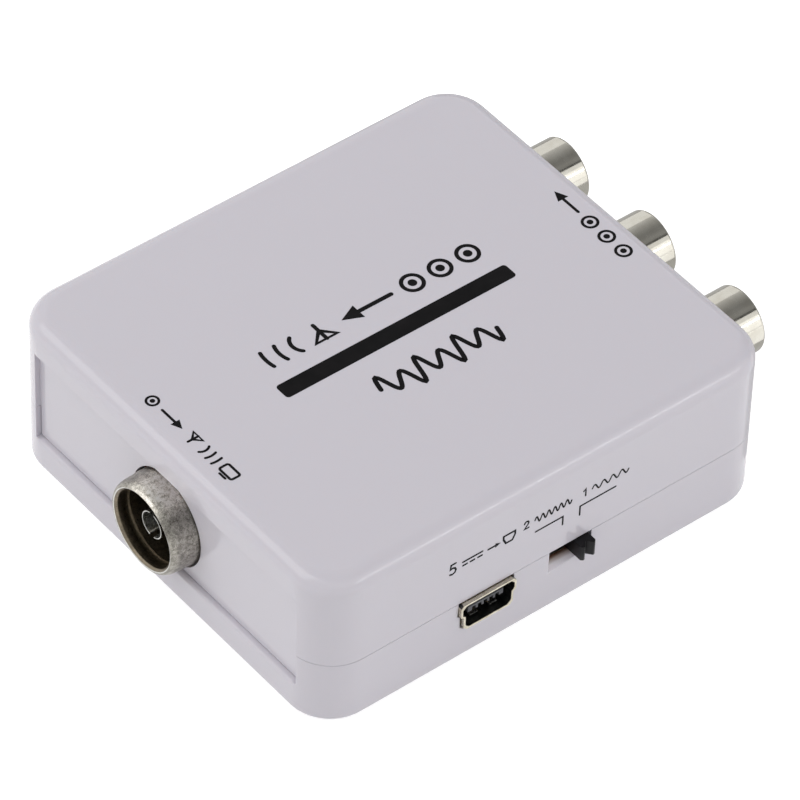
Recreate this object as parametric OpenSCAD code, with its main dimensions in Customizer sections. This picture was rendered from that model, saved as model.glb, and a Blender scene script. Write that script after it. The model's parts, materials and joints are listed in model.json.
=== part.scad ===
// RF modulator: a small box that turns picture and sound into an aerial signal.
// X runs along the box, towards the three phono sockets. The aerial socket faces -X.
// The supply socket and the channel switch face -Y. Z is up.
// The origin is the middle of the underside, on the surface that the box stands on.

/* [Case] */
// Length of the case, from end plane to end plane
case_l = 62.7; // [61:0.1:68]
// Width of the case
case_w = 56; // [50:0.2:64]
// Height of the case
case_h = 21.5; // [19:0.5:26]
// Wall thickness of both shells
wall = 1.6; // [1.4:0.1:1.8]
// Radius of the upright corners
corner_r = 5.5; // [5:0.5:6.5]
// Radius of the rounded top edge
top_edge_r = 2.2; // [1.4:0.2:2.6]
// Radius of the rounded foot edge
foot_edge_r = 1; // [0.5:0.1:1.4]
// Height of the seam over the supply socket's shell
seam_over_usb = 0.15; // [0.1:0.05:0.5]
// Width of the fine gap between the two shells
seam_gap = 0.05; // [0.05:0.05:0.2]
// Height of the lip that locates one shell in the other
lip_h = 1; // [0.6:0.1:1.4]
// Thickness of the lip
lip_t = 0.7; // [0.5:0.1:0.8]

/* [End panels] */
// Width of the case left beside the recess in each end
recess_side = 4.6; // [4.5:0.1:5.6]
// Depth of the recess, from the end plane to the panel's face
recess_depth = 0.75; // [0.5:0.05:0.9]
// Height of the case left over the recess
recess_cover = 4.3; // [3.5:0.1:4.5]
// Height of the ledge under the panel
ledge_z = 4.4; // [3.4:0.1:4.8]
// Clearance round the panel's foot and sides
panel_gap = 0.1; // [0.05:0.05:0.2]
// Distance of the aerial socket and the middle phono socket from the case's middle plane, towards +Y
end_shift = 0.3; // [0:0.1:0.6]

/* [Circuit board] */
// Height of the board's underside above the surface that the box stands on
board_rise = 3.65; // [3:0.05:4]
// Thickness of the board
board_t = 1.2; // [1:0.1:1.6]
// Gap between the board's edge and the shells
board_gap = 0.6; // [0.4:0.1:1]
// Radius of the board's corners
board_corner_r = 3; // [1:0.5:3.5]

/* [Posts] */
// Distance of the posts' axes from the case's end plane
post_inset_x = 6.75; // [6.75:0.25:7]
// Distance of the posts' axes from the case's side plane
post_inset_y = 5.1; // [4.8:0.1:5.1]
// Radius of the posts under the top
post_r = 2.3; // [2:0.1:2.4]
// Radius of the pins that press into the bosses
pin_r = 1.2; // [1:0.1:1.4]
// Radius of the bosses on the floor
boss_r = 2.6; // [2.2:0.1:2.8]
// Thickness of the floor left under a pin's socket
socket_floor = 0.8; // [0.5:0.1:1]

/* [Aerial socket] */
// Height of the aerial socket's axis above the board
rf_rise = 5.35; // [5.3:0.05:6]
// Distance of the rim beyond the case's end plane
rf_stick_out = 2.65; // [1.5:0.05:4]
// Radius of the rim
rf_rim_r = 5.2; // [5.15:0.05:5.3]
// Length of the rounded nose behind the rim
rf_nose_l = 1.5; // [1:0.1:2.4]
// Radius at the end of the nose
rf_nose_r = 5.75; // [5.5:0.05:5.8]
// Radius of the body in the panel's hole
rf_band_r = 5.9; // [5.8:0.05:5.95]
// Radius of the body inside the case
rf_back_r = 5.25; // [5.15:0.05:5.3]
// Length of the whole socket body
rf_body_l = 12; // [11.5:0.5:14]
// Radius of the bore that takes the aerial plug
rf_bore_r = 4.76; // [4.7:0.02:4.8]
// Depth of the bore, from the rim to the insulator
rf_bore_depth = 9.5; // [8.5:0.5:10]
// Radius of the bore's coned mouth
rf_mouth_r = 5.1; // [4.9:0.05:5.1]
// Length of the coned mouth
rf_mouth_l = 0.3; // [0.3:0.1:0.8]
// Length of the bore's front land
rf_land_l = 1; // [0.8:0.1:1.2]
// Width of the ring groove behind the front land
rf_ring_w = 0.6; // [0.55:0.05:0.8]
// Radius of the ring groove
rf_ring_r = 4.96; // [4.92:0.01:5.02]
// Thickness of the insulating disc
rf_insulator_t = 1.5; // [1:0.1:2]
// Radius of the hole in the end panel
rf_hole_r = 6.1; // [6.05:0.05:6.3]
// Outer radius of the split centre contact
rf_contact_r = 1.75; // [1.7:0.05:2]
// Inner radius of the split centre contact
rf_contact_bore_r = 1.2; // [1.1:0.05:1.3]
// Distance of the contact's tip behind the rim
rf_contact_back = 1.35; // [1.3:0.05:2]
// Width of the slot that splits the contact
rf_contact_slot = 0.6; // [0.4:0.1:0.8]

/* [Phono sockets] */
// Gap between the outer housing on the +Y side and the post beside it
phono_side_gap = 0.2; // [0.1:0.1:1.2]
// Distance of the phono axes below the middle of the space over the board
phono_drop = 0.375; // [0:0.025:0.5]
// Distance of the barrels' rims beyond the case's end plane
phono_stick_out = 6.85; // [5.5:0.05:9]
// Radius of a barrel
barrel_r = 4.15; // [4.1:0.05:4.2]
// Wall thickness of a barrel
barrel_wall = 0.45; // [0.3:0.05:0.6]
// Bevel on a barrel's rim
barrel_rim_r = 0.2; // [0.1:0.05:0.25]
// Radius of the collar at a barrel's root
collar_r = 4.4; // [4.3:0.05:4.5]
// Distance of the collar's front from the panel's face
collar_proud = 0.2; // [0.1:0.05:0.4]
// Gap round a collar in the end panel
collar_gap = 0.2; // [0.15:0.05:0.4]
// Distance of the coloured insert's face behind the rim
insert_back = 0.35; // [0.2:0.05:0.8]
// Radius of the hole for the plug's pin
pin_hole_r = 1.65; // [1.6:0.05:1.7]
// Depth of the hole for the plug's pin
pin_hole_depth = 4.5; // [3:0.5:6]
// Outer radius of the centre contact
phono_contact_r = 2; // [1.9:0.1:2.2]
// Inner radius of the centre contact
phono_contact_bore_r = 1.4; // [1.3:0.05:1.45]
// Width of a socket's housing
housing_w = 9.6; // [9.4:0.2:10]
// Length of a socket's housing
housing_l = 9; // [8:0.5:11]
// Height of a socket's housing over the socket's axis
housing_cap = 5.15; // [5:0.05:5.6]

/* [Supply socket] */
// Place of the supply socket's middle along the case
usb_x = -8.88; // [-10:0.02:-8]
// Width of the shell's upper part
usb_w = 7.7; // [7.6:0.1:7.9]
// Width of the shell's lower part
usb_foot_w = 6.9; // [6.6:0.1:7]
// Height of the shell
usb_h = 3.9; // [3.7:0.1:4]
// Height of the shell's upper, wider part
usb_head_h = 1.7; // [1.5:0.1:1.9]
// Height of the slope between the two widths
usb_slope_h = 0.3; // [0.2:0.1:0.5]
// Bevel of the shell's corners
usb_bevel = 0.45; // [0.3:0.05:0.6]
// Sheet thickness of the shell
usb_wall = 0.3; // [0.2:0.05:0.35]
// Length of the shell
usb_l = 9.2; // [8.5:0.1:10]
// Distance of the shell's rim beyond the case's side plane
usb_stick_out = 0.5; // [0:0.1:1]
// Gap round the shell in the case's side
usb_gap = 0.25; // [0.2:0.05:0.45]
// Length of the insulating block at the back of the shell
usb_block_l = 3.4; // [3:0.2:4]
// Width of the tongue
tongue_w = 4.9; // [4.5:0.1:5]
// Thickness of the tongue
tongue_t = 0.8; // [0.7:0.05:0.9]
// Height of the tongue's underside above the board
tongue_rise = 1.8; // [1.6:0.05:2]
// Distance of the tongue's front behind the rim
tongue_back = 0.6; // [0.5:0.1:1.2]
// Distance between two contacts of the supply socket
usb_pitch = 0.8; // [0.75:0.05:0.85]
// Width of a contact of the supply socket
usb_contact_w = 0.4; // [0.3:0.05:0.5]
// Thickness of a contact of the supply socket
usb_contact_t = 0.2; // [0.15:0.05:0.25]

/* [Channel switch] */
// Place of the switch's middle along the case
switch_x = 3.27; // [2.8:0.01:3.8]
// Travel of the knob between its two positions
switch_travel = 2; // [1.8:0.1:2.2]
// Width of the knob, along its travel
knob_w = 2.1; // [1.8:0.1:2.2]
// Height of the knob
knob_h = 2.1; // [1.9:0.05:2.1]
// Height of the knob's middle above the board
knob_rise = 2.87; // [2.8:0.01:2.9]
// Distance of the knob's tip beyond the case's side plane
knob_stick_out = 1.5; // [1:0.1:3]
// Width of the notch in the knob's tip
knob_notch_w = 1.2; // [0.6:0.1:1.2]
// Depth of the notch in the knob's tip
knob_notch_d = 0.75; // [0.4:0.05:1]
// Bevel of the knob's tip
knob_bevel = 0.25; // [0.1:0.05:0.35]
// Length of the slot in the case's side
slot_l = 5.6; // [5.2:0.1:5.8]
// Distance from the switch's middle back to the slot's middle
slot_shift = 0.27; // [0.1:0.01:0.4]
// Gap under the knob in the slot
slot_gap = 0.35; // [0.2:0.05:0.5]
// Width of the switch's metal frame
frame_w = 8.6; // [8.4:0.1:9]
// Depth of the switch's metal frame
frame_d = 3.8; // [3.6:0.1:4.4]
// Height of the switch's metal frame
frame_h = 5.4; // [5.2:0.1:5.8]
// Sheet thickness of the frame
frame_t = 0.3; // [0.25:0.05:0.35]
// Gap between the frame and the case's side wall
frame_gap = 0.3; // [0.1:0.1:0.5]
// Width of the sliding carriage behind the frame
carriage_w = 4.8; // [4.4:0.1:5]
// Thickness of the sliding carriage
carriage_t = 1.2; // [1:0.1:1.3]
// Running clearance round the sliding carriage and the knob
slide_gap = 0.06; // [0.04:0.01:0.08]
// Thickness of the base that carries the terminals
switch_base_t = 0.9; // [0.8:0.1:1]
// Width of a terminal's pad
terminal_w = 1.2; // [1:0.1:1.3]
// Thickness of a terminal
terminal_t = 0.25; // [0.2:0.05:0.3]
// Sheet thickness of the sliding contact
wiper_t = 0.2; // [0.15:0.05:0.25]
// Gap left under the sliding contact's feet
wiper_gap = 0.05; // [0.03:0.01:0.1]

/* [Parts on the board] */
// Length of the shield can over the modulator
can_l = 16; // [14:0.5:17]
// Width of the shield can
can_w = 14; // [12:0.5:15]
// Height of the shield can
can_h = 3.4; // [2.8:0.1:4]
// Sheet thickness of the shield can and its lid
can_t = 0.3; // [0.2:0.05:0.35]
// Depth of the lid's rim
can_rim_h = 1.4; // [1:0.1:2]
// Length of the modulator chip
chip_l = 9.9; // [9:0.1:10.5]
// Width of the modulator chip
chip_w = 3.9; // [3.8:0.1:4.2]
// Height of the modulator chip
chip_h = 1.6; // [1.4:0.1:1.8]
// Distance between two leads of the chip
lead_pitch = 1.27; // [1.2:0.01:1.3]
// Number of leads on each side of the chip
leads_a_side = 7; // [4:1:7]
// Length of the crystal
crystal_l = 11; // [10:0.5:11.5]
// Width of the crystal
crystal_w = 4.6; // [4:0.1:5]
// Height of the crystal
crystal_h = 3.6; // [3:0.1:4]
// Radius of an electrolytic capacitor
electrolytic_r = 2.5; // [2:0.1:3]
// Height of an electrolytic capacitor
electrolytic_h = 7; // [5:0.5:9]
// Length of the voltage regulator
regulator_l = 6.5; // [6:0.1:6.7]
// Width of the voltage regulator
regulator_w = 3.5; // [3.3:0.1:3.7]
// Height of the voltage regulator
regulator_h = 1.7; // [1.5:0.1:1.8]
// Radius of the power choke
choke_r = 2.8; // [2.4:0.1:3]
// Height of the power choke
choke_h = 3.2; // [2.8:0.1:4]
// Length of the polarity diode
diode_l = 4.3; // [4:0.1:4.6]
// Width of the polarity diode
diode_w = 2.6; // [2.4:0.1:2.8]
// Height of the polarity diode
diode_h = 2.1; // [1.9:0.1:2.3]
// Length of a small chip part
small_l = 2; // [1.6:0.1:2.2]
// Width of a small chip part
small_w = 1.25; // [1:0.05:1.3]
// Height of a ceramic capacitor
ceramic_h = 0.9; // [0.7:0.1:1.2]
// Height of a resistor
resistor_h = 0.5; // [0.4:0.05:0.6]

/* [Joining] */
// Thickness of the legs that pass through the board
leg_t = 0.5; // [0.4:0.05:0.6]
// Width of the legs that pass through the board
leg_w = 1.2; // [1:0.1:1.4]
// Length of a leg left under the board
leg_proud = 0.6; // [0.4:0.1:1]
// Clearance round a leg in the board
leg_gap = 0.15; // [0.1:0.05:0.2]
// Clearance between pieces that are seated in one another
seat_gap = 0.05; // [0.03:0.01:0.08]
// Clearance between the board and the parts that clamp it
clamp_gap = 0.05; // [0.02:0.01:0.1]

/* [Hidden] */
$fn = 64;
// How far a cut runs past the face that it opens
over = 1;

// The board's levels and the seam that follows from them
board_top = board_rise + board_t;
seam_z = board_top + usb_h + seam_over_usb;
leg_foot_z = board_rise - leg_proud;
// The inside of the shells
ceiling_z = case_h - wall;
in_x = case_l / 2 - wall;
in_y = case_w / 2 - wall;
panel_x = case_l / 2 - recess_depth;
panel_in_x = panel_x - wall;
board_l = 2 * (panel_in_x - board_gap);
board_w = 2 * (in_y - board_gap);
recess_w = case_w - 2 * recess_side;
recess_top_z = case_h - recess_cover;
post_x = case_l / 2 - post_inset_x;
post_y = case_w / 2 - post_inset_y;
// The aerial socket, measured back from its rim
rf_z = board_top + rf_rise;
rf_rim_x = -(case_l / 2 + rf_stick_out);
rf_seat_l = rf_bore_depth + rf_insulator_t;
rf_end_x = rf_rim_x + rf_body_l;
rf_sleeve_r = rf_contact_r + leg_t;
tail_r = leg_t;
tail_run = frame_d / 6;
rf_tail_x = rf_end_x + tail_run + tail_r;
rf_leg_xs = [rf_end_x - rf_body_l / 2 + leg_w, rf_end_x - leg_w];
rf_leg_ys = [end_shift - rf_back_r + leg_t, end_shift + rf_back_r - leg_t];
rf_root_l = rf_stick_out + recess_depth + wall + panel_gap;
// The phono sockets, measured along X from the housings' front
phono_rise = (ceiling_z - board_top) / 2 - phono_drop;
phono_pitch = post_y - post_r - phono_side_gap - housing_w / 2 - end_shift;
phono_z = board_top + phono_rise;
housing_h = phono_rise + housing_cap;
housing_x = panel_in_x - board_gap / 2;
collar_seat = housing_l / 4;
barrel_l = case_l / 2 + phono_stick_out - housing_x;
collar_l = panel_x + collar_proud - housing_x;
insert_r = barrel_r - barrel_wall - seat_gap;
phono_ys = [end_shift + phono_pitch, end_shift, end_shift - phono_pitch];
housing_back_x = housing_x - housing_l;
phono_tail_x = housing_back_x - tail_run - tail_r;
barrel_leg_x = housing_x - collar_seat / 2;
phono_contact_x = housing_x + barrel_l - insert_back - pin_hole_depth;
// The supply socket
usb_front_y = -(case_w / 2 + usb_stick_out);
usb_back_y = usb_front_y + usb_l;
usb_contacts_at = [-2, -1, 0, 1, 2];
usb_leg_ys = [usb_back_y - leg_w, usb_back_y - usb_block_l];
usb_leg_dx = (usb_foot_w - usb_wall) / 2;
// The channel switch: the knob rests at the end nearer the phono sockets
frame_y = -(in_y - frame_gap);
frame_back_y = frame_y + frame_d;
knob_x = switch_x + switch_travel / 2;
knob_z = board_top + knob_rise;
carriage_y = frame_y + frame_t + slide_gap;
carriage_back_y = carriage_y + carriage_t;
base_y = frame_back_y - switch_base_t;
window_w = knob_w + switch_travel + 2 * slide_gap + frame_t;
terminals_at = [-1, 0, 1];
terminal_tail_y = frame_back_y + tail_run;
// Places on the board, as shares of its length and width
can_share = [-0.17, 0.12];
can_at = [board_l * can_share.x, board_w * can_share.y, board_top];
crystal_share = [0.16, 0.24];
crystal_lead_x = crystal_l / 4;
electrolytic_shares = [[0.08, -0.14], [0.2, -0.14], [0.2, 0.08]];
electrolytic_lead_x = electrolytic_r / 2;
regulator_share = [-0.33, -0.24];
choke_share = [-0.13, -0.2];
diode_share = [-0.33, -0.36];
ceramic_shares = [[-0.4, 0.34], [-0.32, 0.34], [-0.24, 0.34], [-0.16, 0.34], [-0.08, 0.34], [0.04, 0.1], [0.04, 0.02],
    [-0.24, -0.12]];
resistor_shares = [[0, 0.34], [0.08, 0.38], [0.16, 0.38], [0.24, 0.38], [0.1, 0.1], [0.1, 0.02], [-0.32, -0.12],
    [0.08, -0.26]];

// Helpers

// A box that stands on at.z, with its middle over at.x and at.y
module block(size, at) {
    translate([at.x - size.x / 2, at.y - size.y / 2, at.z]) cube(size);
}

// Places on the board, from a pair of shares
function on_board(share) = [board_l * share.x, board_w * share.y, board_top];

module rounded_rect(l, w, r) {
    square([l - 2 * r, w], center = true);
    square([l, w - 2 * r], center = true);
    for (sx = [-1, 1], sy = [-1, 1]) {
        translate([sx * (l / 2 - r), sy * (w / 2 - r)]) circle(r);
    }
}

// The case's outline, drawn in by an inset all round, as an upright plate
module inset_plate(inset, from_z, to_z) {
    translate([0, 0, from_z])
        linear_extrude(to_z - from_z)
            rounded_rect(case_l - 2 * inset, case_w - 2 * inset, corner_r - inset);
}

// Half of the section through a rounded upper edge, from the corner's axis outwards
module edge_section(h, edge_r) {
    square([corner_r - edge_r, h]);
    square([corner_r, h - edge_r]);
    intersection() {
        translate([corner_r - edge_r, h - edge_r]) circle(edge_r);
        square([corner_r, h]);
    }
}

// An upright block with the case's outline, standing on zero, with its upper edge rounded
module rounded_block(h, edge_r) {
    run_x = case_l - 2 * corner_r;
    run_y = case_w - 2 * corner_r;
    corners = [[1, 1], [-1, 1], [-1, -1], [1, -1]];
    for (turn = [0:3]) {
        translate([corners[turn].x * run_x / 2, corners[turn].y * run_y / 2, 0])
            rotate([0, 0, 90 * turn])
                rotate_extrude(angle = 90) edge_section(h, edge_r);
    }
    for (turn = [0, 180]) {
        rotate([0, 0, turn]) {
            translate([-run_x / 2, run_y / 2, 0])
                rotate([90, 0, 90]) linear_extrude(run_x) edge_section(h, edge_r);
            translate([run_x / 2, run_y / 2, 0])
                rotate([90, 0, 0]) linear_extrude(run_y) edge_section(h, edge_r);
        }
    }
    translate([-run_x / 2, -run_y / 2, 0]) cube([run_x, run_y, h]);
}

// A straight round bar along X, from one place to another
module bar_x(r, from_x, to_x, y, z) {
    translate([from_x, y, z]) rotate([0, 90, 0]) cylinder(h = to_x - from_x, r = r);
}

// A round bar that stands upright
module bar_z(r, from_z, to_z, x, y) {
    translate([x, y, from_z]) cylinder(h = to_z - from_z, r = r);
}

// The lip's ring between two levels, open at both ends where the end panels stand
module lip_plate(inset, from_z, to_z) {
    difference() {
        inset_plate(inset, from_z, to_z);
        inset_plate(wall, from_z - over, to_z + over);
        block([case_l + over, recess_w + 2 * lip_t, to_z - from_z + 2 * over], [0, 0, from_z - over]);
    }
}

// The supply socket's stepped outline in the XZ plane, drawn in by an inset
function usb_outline(inset) = let (
    head = usb_w / 2 - inset,
    foot = usb_foot_w / 2 - inset,
    top = usb_h - inset,
    step = usb_h - usb_head_h + inset / 2,
    low = step - usb_slope_h
) [
    [-foot + usb_bevel, inset], [foot - usb_bevel, inset], [foot, inset + usb_bevel],
    [foot, low], [head, step], [head, top - usb_bevel], [head - usb_bevel, top],
    [-head + usb_bevel, top], [-head, top - usb_bevel], [-head, step], [-foot, low],
    [-foot, inset + usb_bevel]
];

module usb_prism(inset, from_y, to_y) {
    translate([usb_x, to_y, board_top])
        rotate([90, 0, 0]) linear_extrude(to_y - from_y) polygon(usb_outline(inset));
}

// Case

module end_panel(side) {
    from_x = side > 0 ? panel_in_x : -panel_x;
    translate([from_x, -(recess_w / 2 - panel_gap), ledge_z + panel_gap])
        cube([wall, recess_w - 2 * panel_gap, recess_top_z + wall - ledge_z - panel_gap]);
}

module top_shell() {
    color("ghostwhite") difference() {
        union() {
            difference() {
                translate([0, 0, seam_z]) rounded_block(case_h - seam_z, top_edge_r);
                inset_plate(wall, seam_z - over, ceiling_z);
                lip_plate(wall - lip_t - panel_gap, seam_z - over, seam_z + lip_h);
                for (side = [-1, 1]) {
                    block([2 * recess_depth, recess_w, recess_top_z - seam_z + over],
                        [side * case_l / 2, 0, seam_z - over]);
                }
            }
            end_panel(1);
            end_panel(-1);
            for (sx = [-1, 1], sy = [-1, 1]) {
                bar_z(post_r, board_top + clamp_gap, ceiling_z + wall / 2, sx * post_x, sy * post_y);
                bar_z(pin_r, socket_floor + 2 * panel_gap, board_top + post_r, sx * post_x, sy * post_y);
            }
        }
        bar_x(rf_hole_r, -case_l / 2 - over, -panel_in_x + over, end_shift, rf_z);
        for (y = phono_ys) {
            bar_x(collar_r + collar_gap, panel_in_x - over, case_l / 2 + over, y, phono_z);
        }
    }
}

module bottom_shell() {
    rim_z = seam_z - seam_gap;
    color("ghostwhite") difference() {
        union() {
            difference() {
                translate([0, 0, rim_z]) mirror([0, 0, 1]) rounded_block(rim_z, foot_edge_r);
                inset_plate(wall, wall, rim_z + over);
            }
            lip_plate(wall - lip_t, rim_z - lip_h, rim_z + lip_h);
            for (sx = [-1, 1], sy = [-1, 1]) {
                bar_z(boss_r, wall / 2, board_rise, sx * post_x, sy * post_y);
            }
        }
        for (side = [-1, 1]) {
            block([2 * (wall + recess_depth), recess_w, seam_z - ledge_z + over],
                [side * case_l / 2, 0, ledge_z]);
        }
        bar_x(rf_hole_r, -case_l / 2 - over, -panel_in_x + over, end_shift, rf_z);
        for (sx = [-1, 1], sy = [-1, 1]) {
            bar_z(pin_r + seat_gap, socket_floor, board_rise + over, sx * post_x, sy * post_y);
        }
        usb_prism(-usb_gap, usb_front_y - over, -in_y + over);
        block([usb_w + 2 * usb_gap, 2 * (wall + over), usb_head_h + lip_h + over],
            [usb_x, -case_w / 2, board_top + usb_h - usb_head_h / 2]);
        block([slot_l, 2 * (wall + over), knob_h + slot_gap + lip_h + over],
            [switch_x - slot_shift, -case_w / 2, knob_z - knob_h / 2 - slot_gap]);
    }
}

// Circuit board

// A hole for a flat leg
module leg_hole(x, y, size_x, size_y) {
    block([size_x + 2 * leg_gap, size_y + 2 * leg_gap, board_t + 2 * over], [x, y, board_rise - over]);
}

module board_leg_holes() {
    for (x = rf_leg_xs, y = rf_leg_ys) {
        leg_hole(x, y, leg_w, leg_t);
    }
    for (y = phono_ys) {
        leg_hole(barrel_leg_x, y, leg_t, leg_w);
    }
    for (side = [-1, 1], y = usb_leg_ys) {
        leg_hole(usb_x + side * usb_leg_dx, y, usb_wall, leg_w);
    }
    for (side = [-1, 1]) {
        leg_hole(switch_x + side * (frame_w - frame_t) / 2, frame_y + frame_d / 2, frame_t, leg_w);
    }
    for (n = terminals_at) {
        leg_hole(switch_x + n * switch_travel, terminal_tail_y, terminal_w / 2, terminal_t);
    }
}

// Two round holes for the leads of a part that stands over a place on the board
module lead_holes(share, lead_x) {
    for (side = [-1, 1]) {
        bar_z(leg_t / 2 + leg_gap, board_rise - over, board_top + over,
            board_l * share.x + side * lead_x, board_w * share.y);
    }
}

module board_round_holes() {
    lead_holes(crystal_share, crystal_lead_x);
    for (share = electrolytic_shares) {
        lead_holes(share, electrolytic_lead_x);
    }
    bar_z(tail_r + leg_gap, board_rise - over, board_top + over, rf_tail_x, end_shift);
    for (y = phono_ys) {
        bar_z(tail_r + leg_gap, board_rise - over, board_top + over, phono_tail_x, y);
    }
    for (sx = [-1, 1], sy = [-1, 1]) {
        bar_z(pin_r + leg_gap, board_rise - over, board_top + over, sx * post_x, sy * post_y);
    }
}

module circuit_board() {
    color("seagreen") difference() {
        translate([0, 0, board_rise])
            linear_extrude(board_t) rounded_rect(board_l, board_w, board_corner_r);
        board_leg_holes();
        board_round_holes();
    }
}

// Aerial socket

module aerial_socket_shell() {
    root_x = rf_rim_x + rf_root_l;
    groove_x = rf_rim_x + rf_mouth_l + rf_land_l;
    nose = [for (turn = [0:15:90]) [
        rf_rim_r + (rf_nose_r - rf_rim_r) * sin(turn),
        rf_nose_l * (1 - cos(turn))
    ]];
    back = [
        [rf_band_r, rf_root_l - leg_t], [rf_band_r, rf_root_l],
        [rf_back_r, rf_root_l], [rf_back_r, rf_body_l], [0, rf_body_l]
    ];
    color("darkgray") difference() {
        union() {
            translate([rf_rim_x, end_shift, rf_z])
                rotate([0, 90, 0]) rotate_extrude() polygon(concat([[0, 0]], nose, back));
            block([rf_end_x - root_x, 2 * rf_back_r, rf_z - board_top],
                [(root_x + rf_end_x) / 2, end_shift, board_top]);
            for (x = rf_leg_xs, y = rf_leg_ys) {
                block([leg_w, leg_t, board_top - leg_foot_z + over], [x, y, leg_foot_z]);
            }
        }
        translate([rf_rim_x, end_shift, rf_z]) rotate([0, 90, 0]) rotate_extrude() polygon([
            [0, -over], [rf_mouth_r, -over], [rf_mouth_r, 0], [rf_bore_r, rf_mouth_l], [0, rf_mouth_l + rf_land_l / 2]
        ]);
        bar_x(rf_bore_r, rf_rim_x + rf_mouth_l, rf_rim_x + rf_seat_l, end_shift, rf_z);
        bar_x(rf_ring_r, groove_x, groove_x + rf_ring_w, end_shift, rf_z);
        bar_x(rf_sleeve_r, rf_rim_x + rf_bore_depth, rf_end_x + over, end_shift, rf_z);
    }
}

module aerial_socket_insulator() {
    color("dimgray") difference() {
        union() {
            bar_x(rf_bore_r - seat_gap, rf_rim_x + rf_bore_depth, rf_rim_x + rf_seat_l - seat_gap, end_shift, rf_z);
            bar_x(rf_sleeve_r - seat_gap, rf_rim_x + rf_seat_l - leg_t, rf_end_x, end_shift, rf_z);
        }
        bar_x(rf_contact_r + seat_gap, rf_rim_x + rf_bore_depth - over, rf_rim_x + rf_seat_l, end_shift, rf_z);
        bar_x(tail_r + seat_gap, rf_rim_x + rf_bore_depth, rf_end_x + over, end_shift, rf_z);
    }
}

// A tail that runs back from a contact and turns down into the board
module contact_tail(from_x, tail_x, y, z) {
    run_from = min(from_x, tail_x);
    run_to = max(from_x, tail_x);
    bar_x(tail_r, run_from, run_to, y, z);
    bar_z(tail_r, leg_foot_z, z, tail_x, y);
    translate([tail_x, y, z]) sphere(tail_r);
}

module aerial_socket_contact() {
    tip_x = rf_rim_x + rf_contact_back;
    seat_x = rf_rim_x + rf_seat_l - seat_gap;
    slot_len = (rf_bore_depth - rf_contact_back) / 2;
    color("silver") {
        difference() {
            bar_x(rf_contact_r, tip_x, seat_x, end_shift, rf_z);
            bar_x(rf_contact_bore_r, tip_x - over, rf_rim_x + rf_bore_depth, end_shift, rf_z);
            block([2 * slot_len, rf_contact_slot, 2 * rf_contact_r + over],
                [tip_x, end_shift, rf_z - rf_contact_r - over / 2]);
        }
        contact_tail(seat_x - rf_insulator_t / 2, rf_tail_x, end_shift, rf_z);
    }
}

// Phono sockets

module socket_barrel(y) {
    color("silver") translate([housing_x, y, phono_z]) {
        rotate([0, 90, 0]) rotate_extrude() polygon([
            [barrel_r - barrel_wall, -collar_seat], [collar_r, -collar_seat], [collar_r, collar_l],
            [barrel_r, collar_l], [barrel_r, barrel_l - barrel_rim_r], [barrel_r - barrel_rim_r, barrel_l],
            [barrel_r - barrel_wall, barrel_l]
        ]);
        difference() {
            block([leg_t, leg_w, phono_z - leg_foot_z - barrel_r], [-collar_seat / 2, 0, leg_foot_z - phono_z]);
            bar_x(barrel_r - barrel_wall / 2, -collar_seat - over, collar_l, 0, 0);
        }
    }
}

module socket_insert(y, tint) {
    front_x = housing_x + barrel_l - insert_back;
    color(tint) difference() {
        bar_x(insert_r, housing_x - collar_seat, front_x, y, phono_z);
        bar_x(pin_hole_r, phono_contact_x - over, front_x + over, y, phono_z);
        bar_x(phono_contact_r + seat_gap, housing_x - collar_seat - over, phono_contact_x + seat_gap, y, phono_z);
    }
}

module socket_contact(y) {
    back_x = housing_x - housing_l / 2;
    color("silver") {
        difference() {
            bar_x(phono_contact_r, back_x, phono_contact_x, y, phono_z);
            bar_x(phono_contact_bore_r, back_x + phono_contact_r, phono_contact_x + over, y, phono_z);
        }
        contact_tail(back_x + phono_contact_r / 2, phono_tail_x, y, phono_z);
    }
}

module socket_housing(y) {
    color("dimgray") difference() {
        block([housing_l, housing_w, housing_h], [housing_x - housing_l / 2, y, board_top]);
        bar_x(collar_r + seat_gap, housing_x - collar_seat - seat_gap, housing_x + over, y, phono_z);
        bar_x(phono_contact_r + seat_gap, housing_x - housing_l / 2 - seat_gap, housing_x, y, phono_z);
        bar_x(tail_r + seat_gap, housing_back_x - over, housing_x, y, phono_z);
        block([leg_t + 2 * seat_gap, leg_w + 2 * seat_gap, phono_rise + over], [barrel_leg_x, y, board_top - over]);
    }
}

// Supply socket

module supply_socket_shell() {
    color("silver") {
        difference() {
            usb_prism(0, usb_front_y, usb_back_y);
            usb_prism(usb_wall, usb_front_y - over, usb_back_y + over);
        }
        for (side = [-1, 1], y = usb_leg_ys) {
            block([usb_wall, leg_w, board_top + 2 * usb_bevel - leg_foot_z],
                [usb_x + side * usb_leg_dx, y, leg_foot_z]);
        }
    }
}

module supply_socket_block() {
    tongue_l = usb_l - tongue_back - usb_block_l / 2;
    color("dimgray") difference() {
        union() {
            usb_prism(usb_wall + seat_gap, usb_back_y - usb_block_l, usb_back_y);
            block([tongue_w, tongue_l, tongue_t],
                [usb_x, usb_front_y + tongue_back + tongue_l / 2, board_top + tongue_rise]);
        }
        for (n = usb_contacts_at) {
            block([usb_contact_w + 2 * seat_gap, usb_l + over, usb_contact_t + 2 * seat_gap],
                [usb_x + n * usb_pitch, usb_front_y + (usb_l + over) / 2, board_top + tongue_rise - seat_gap]);
        }
    }
}

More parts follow.
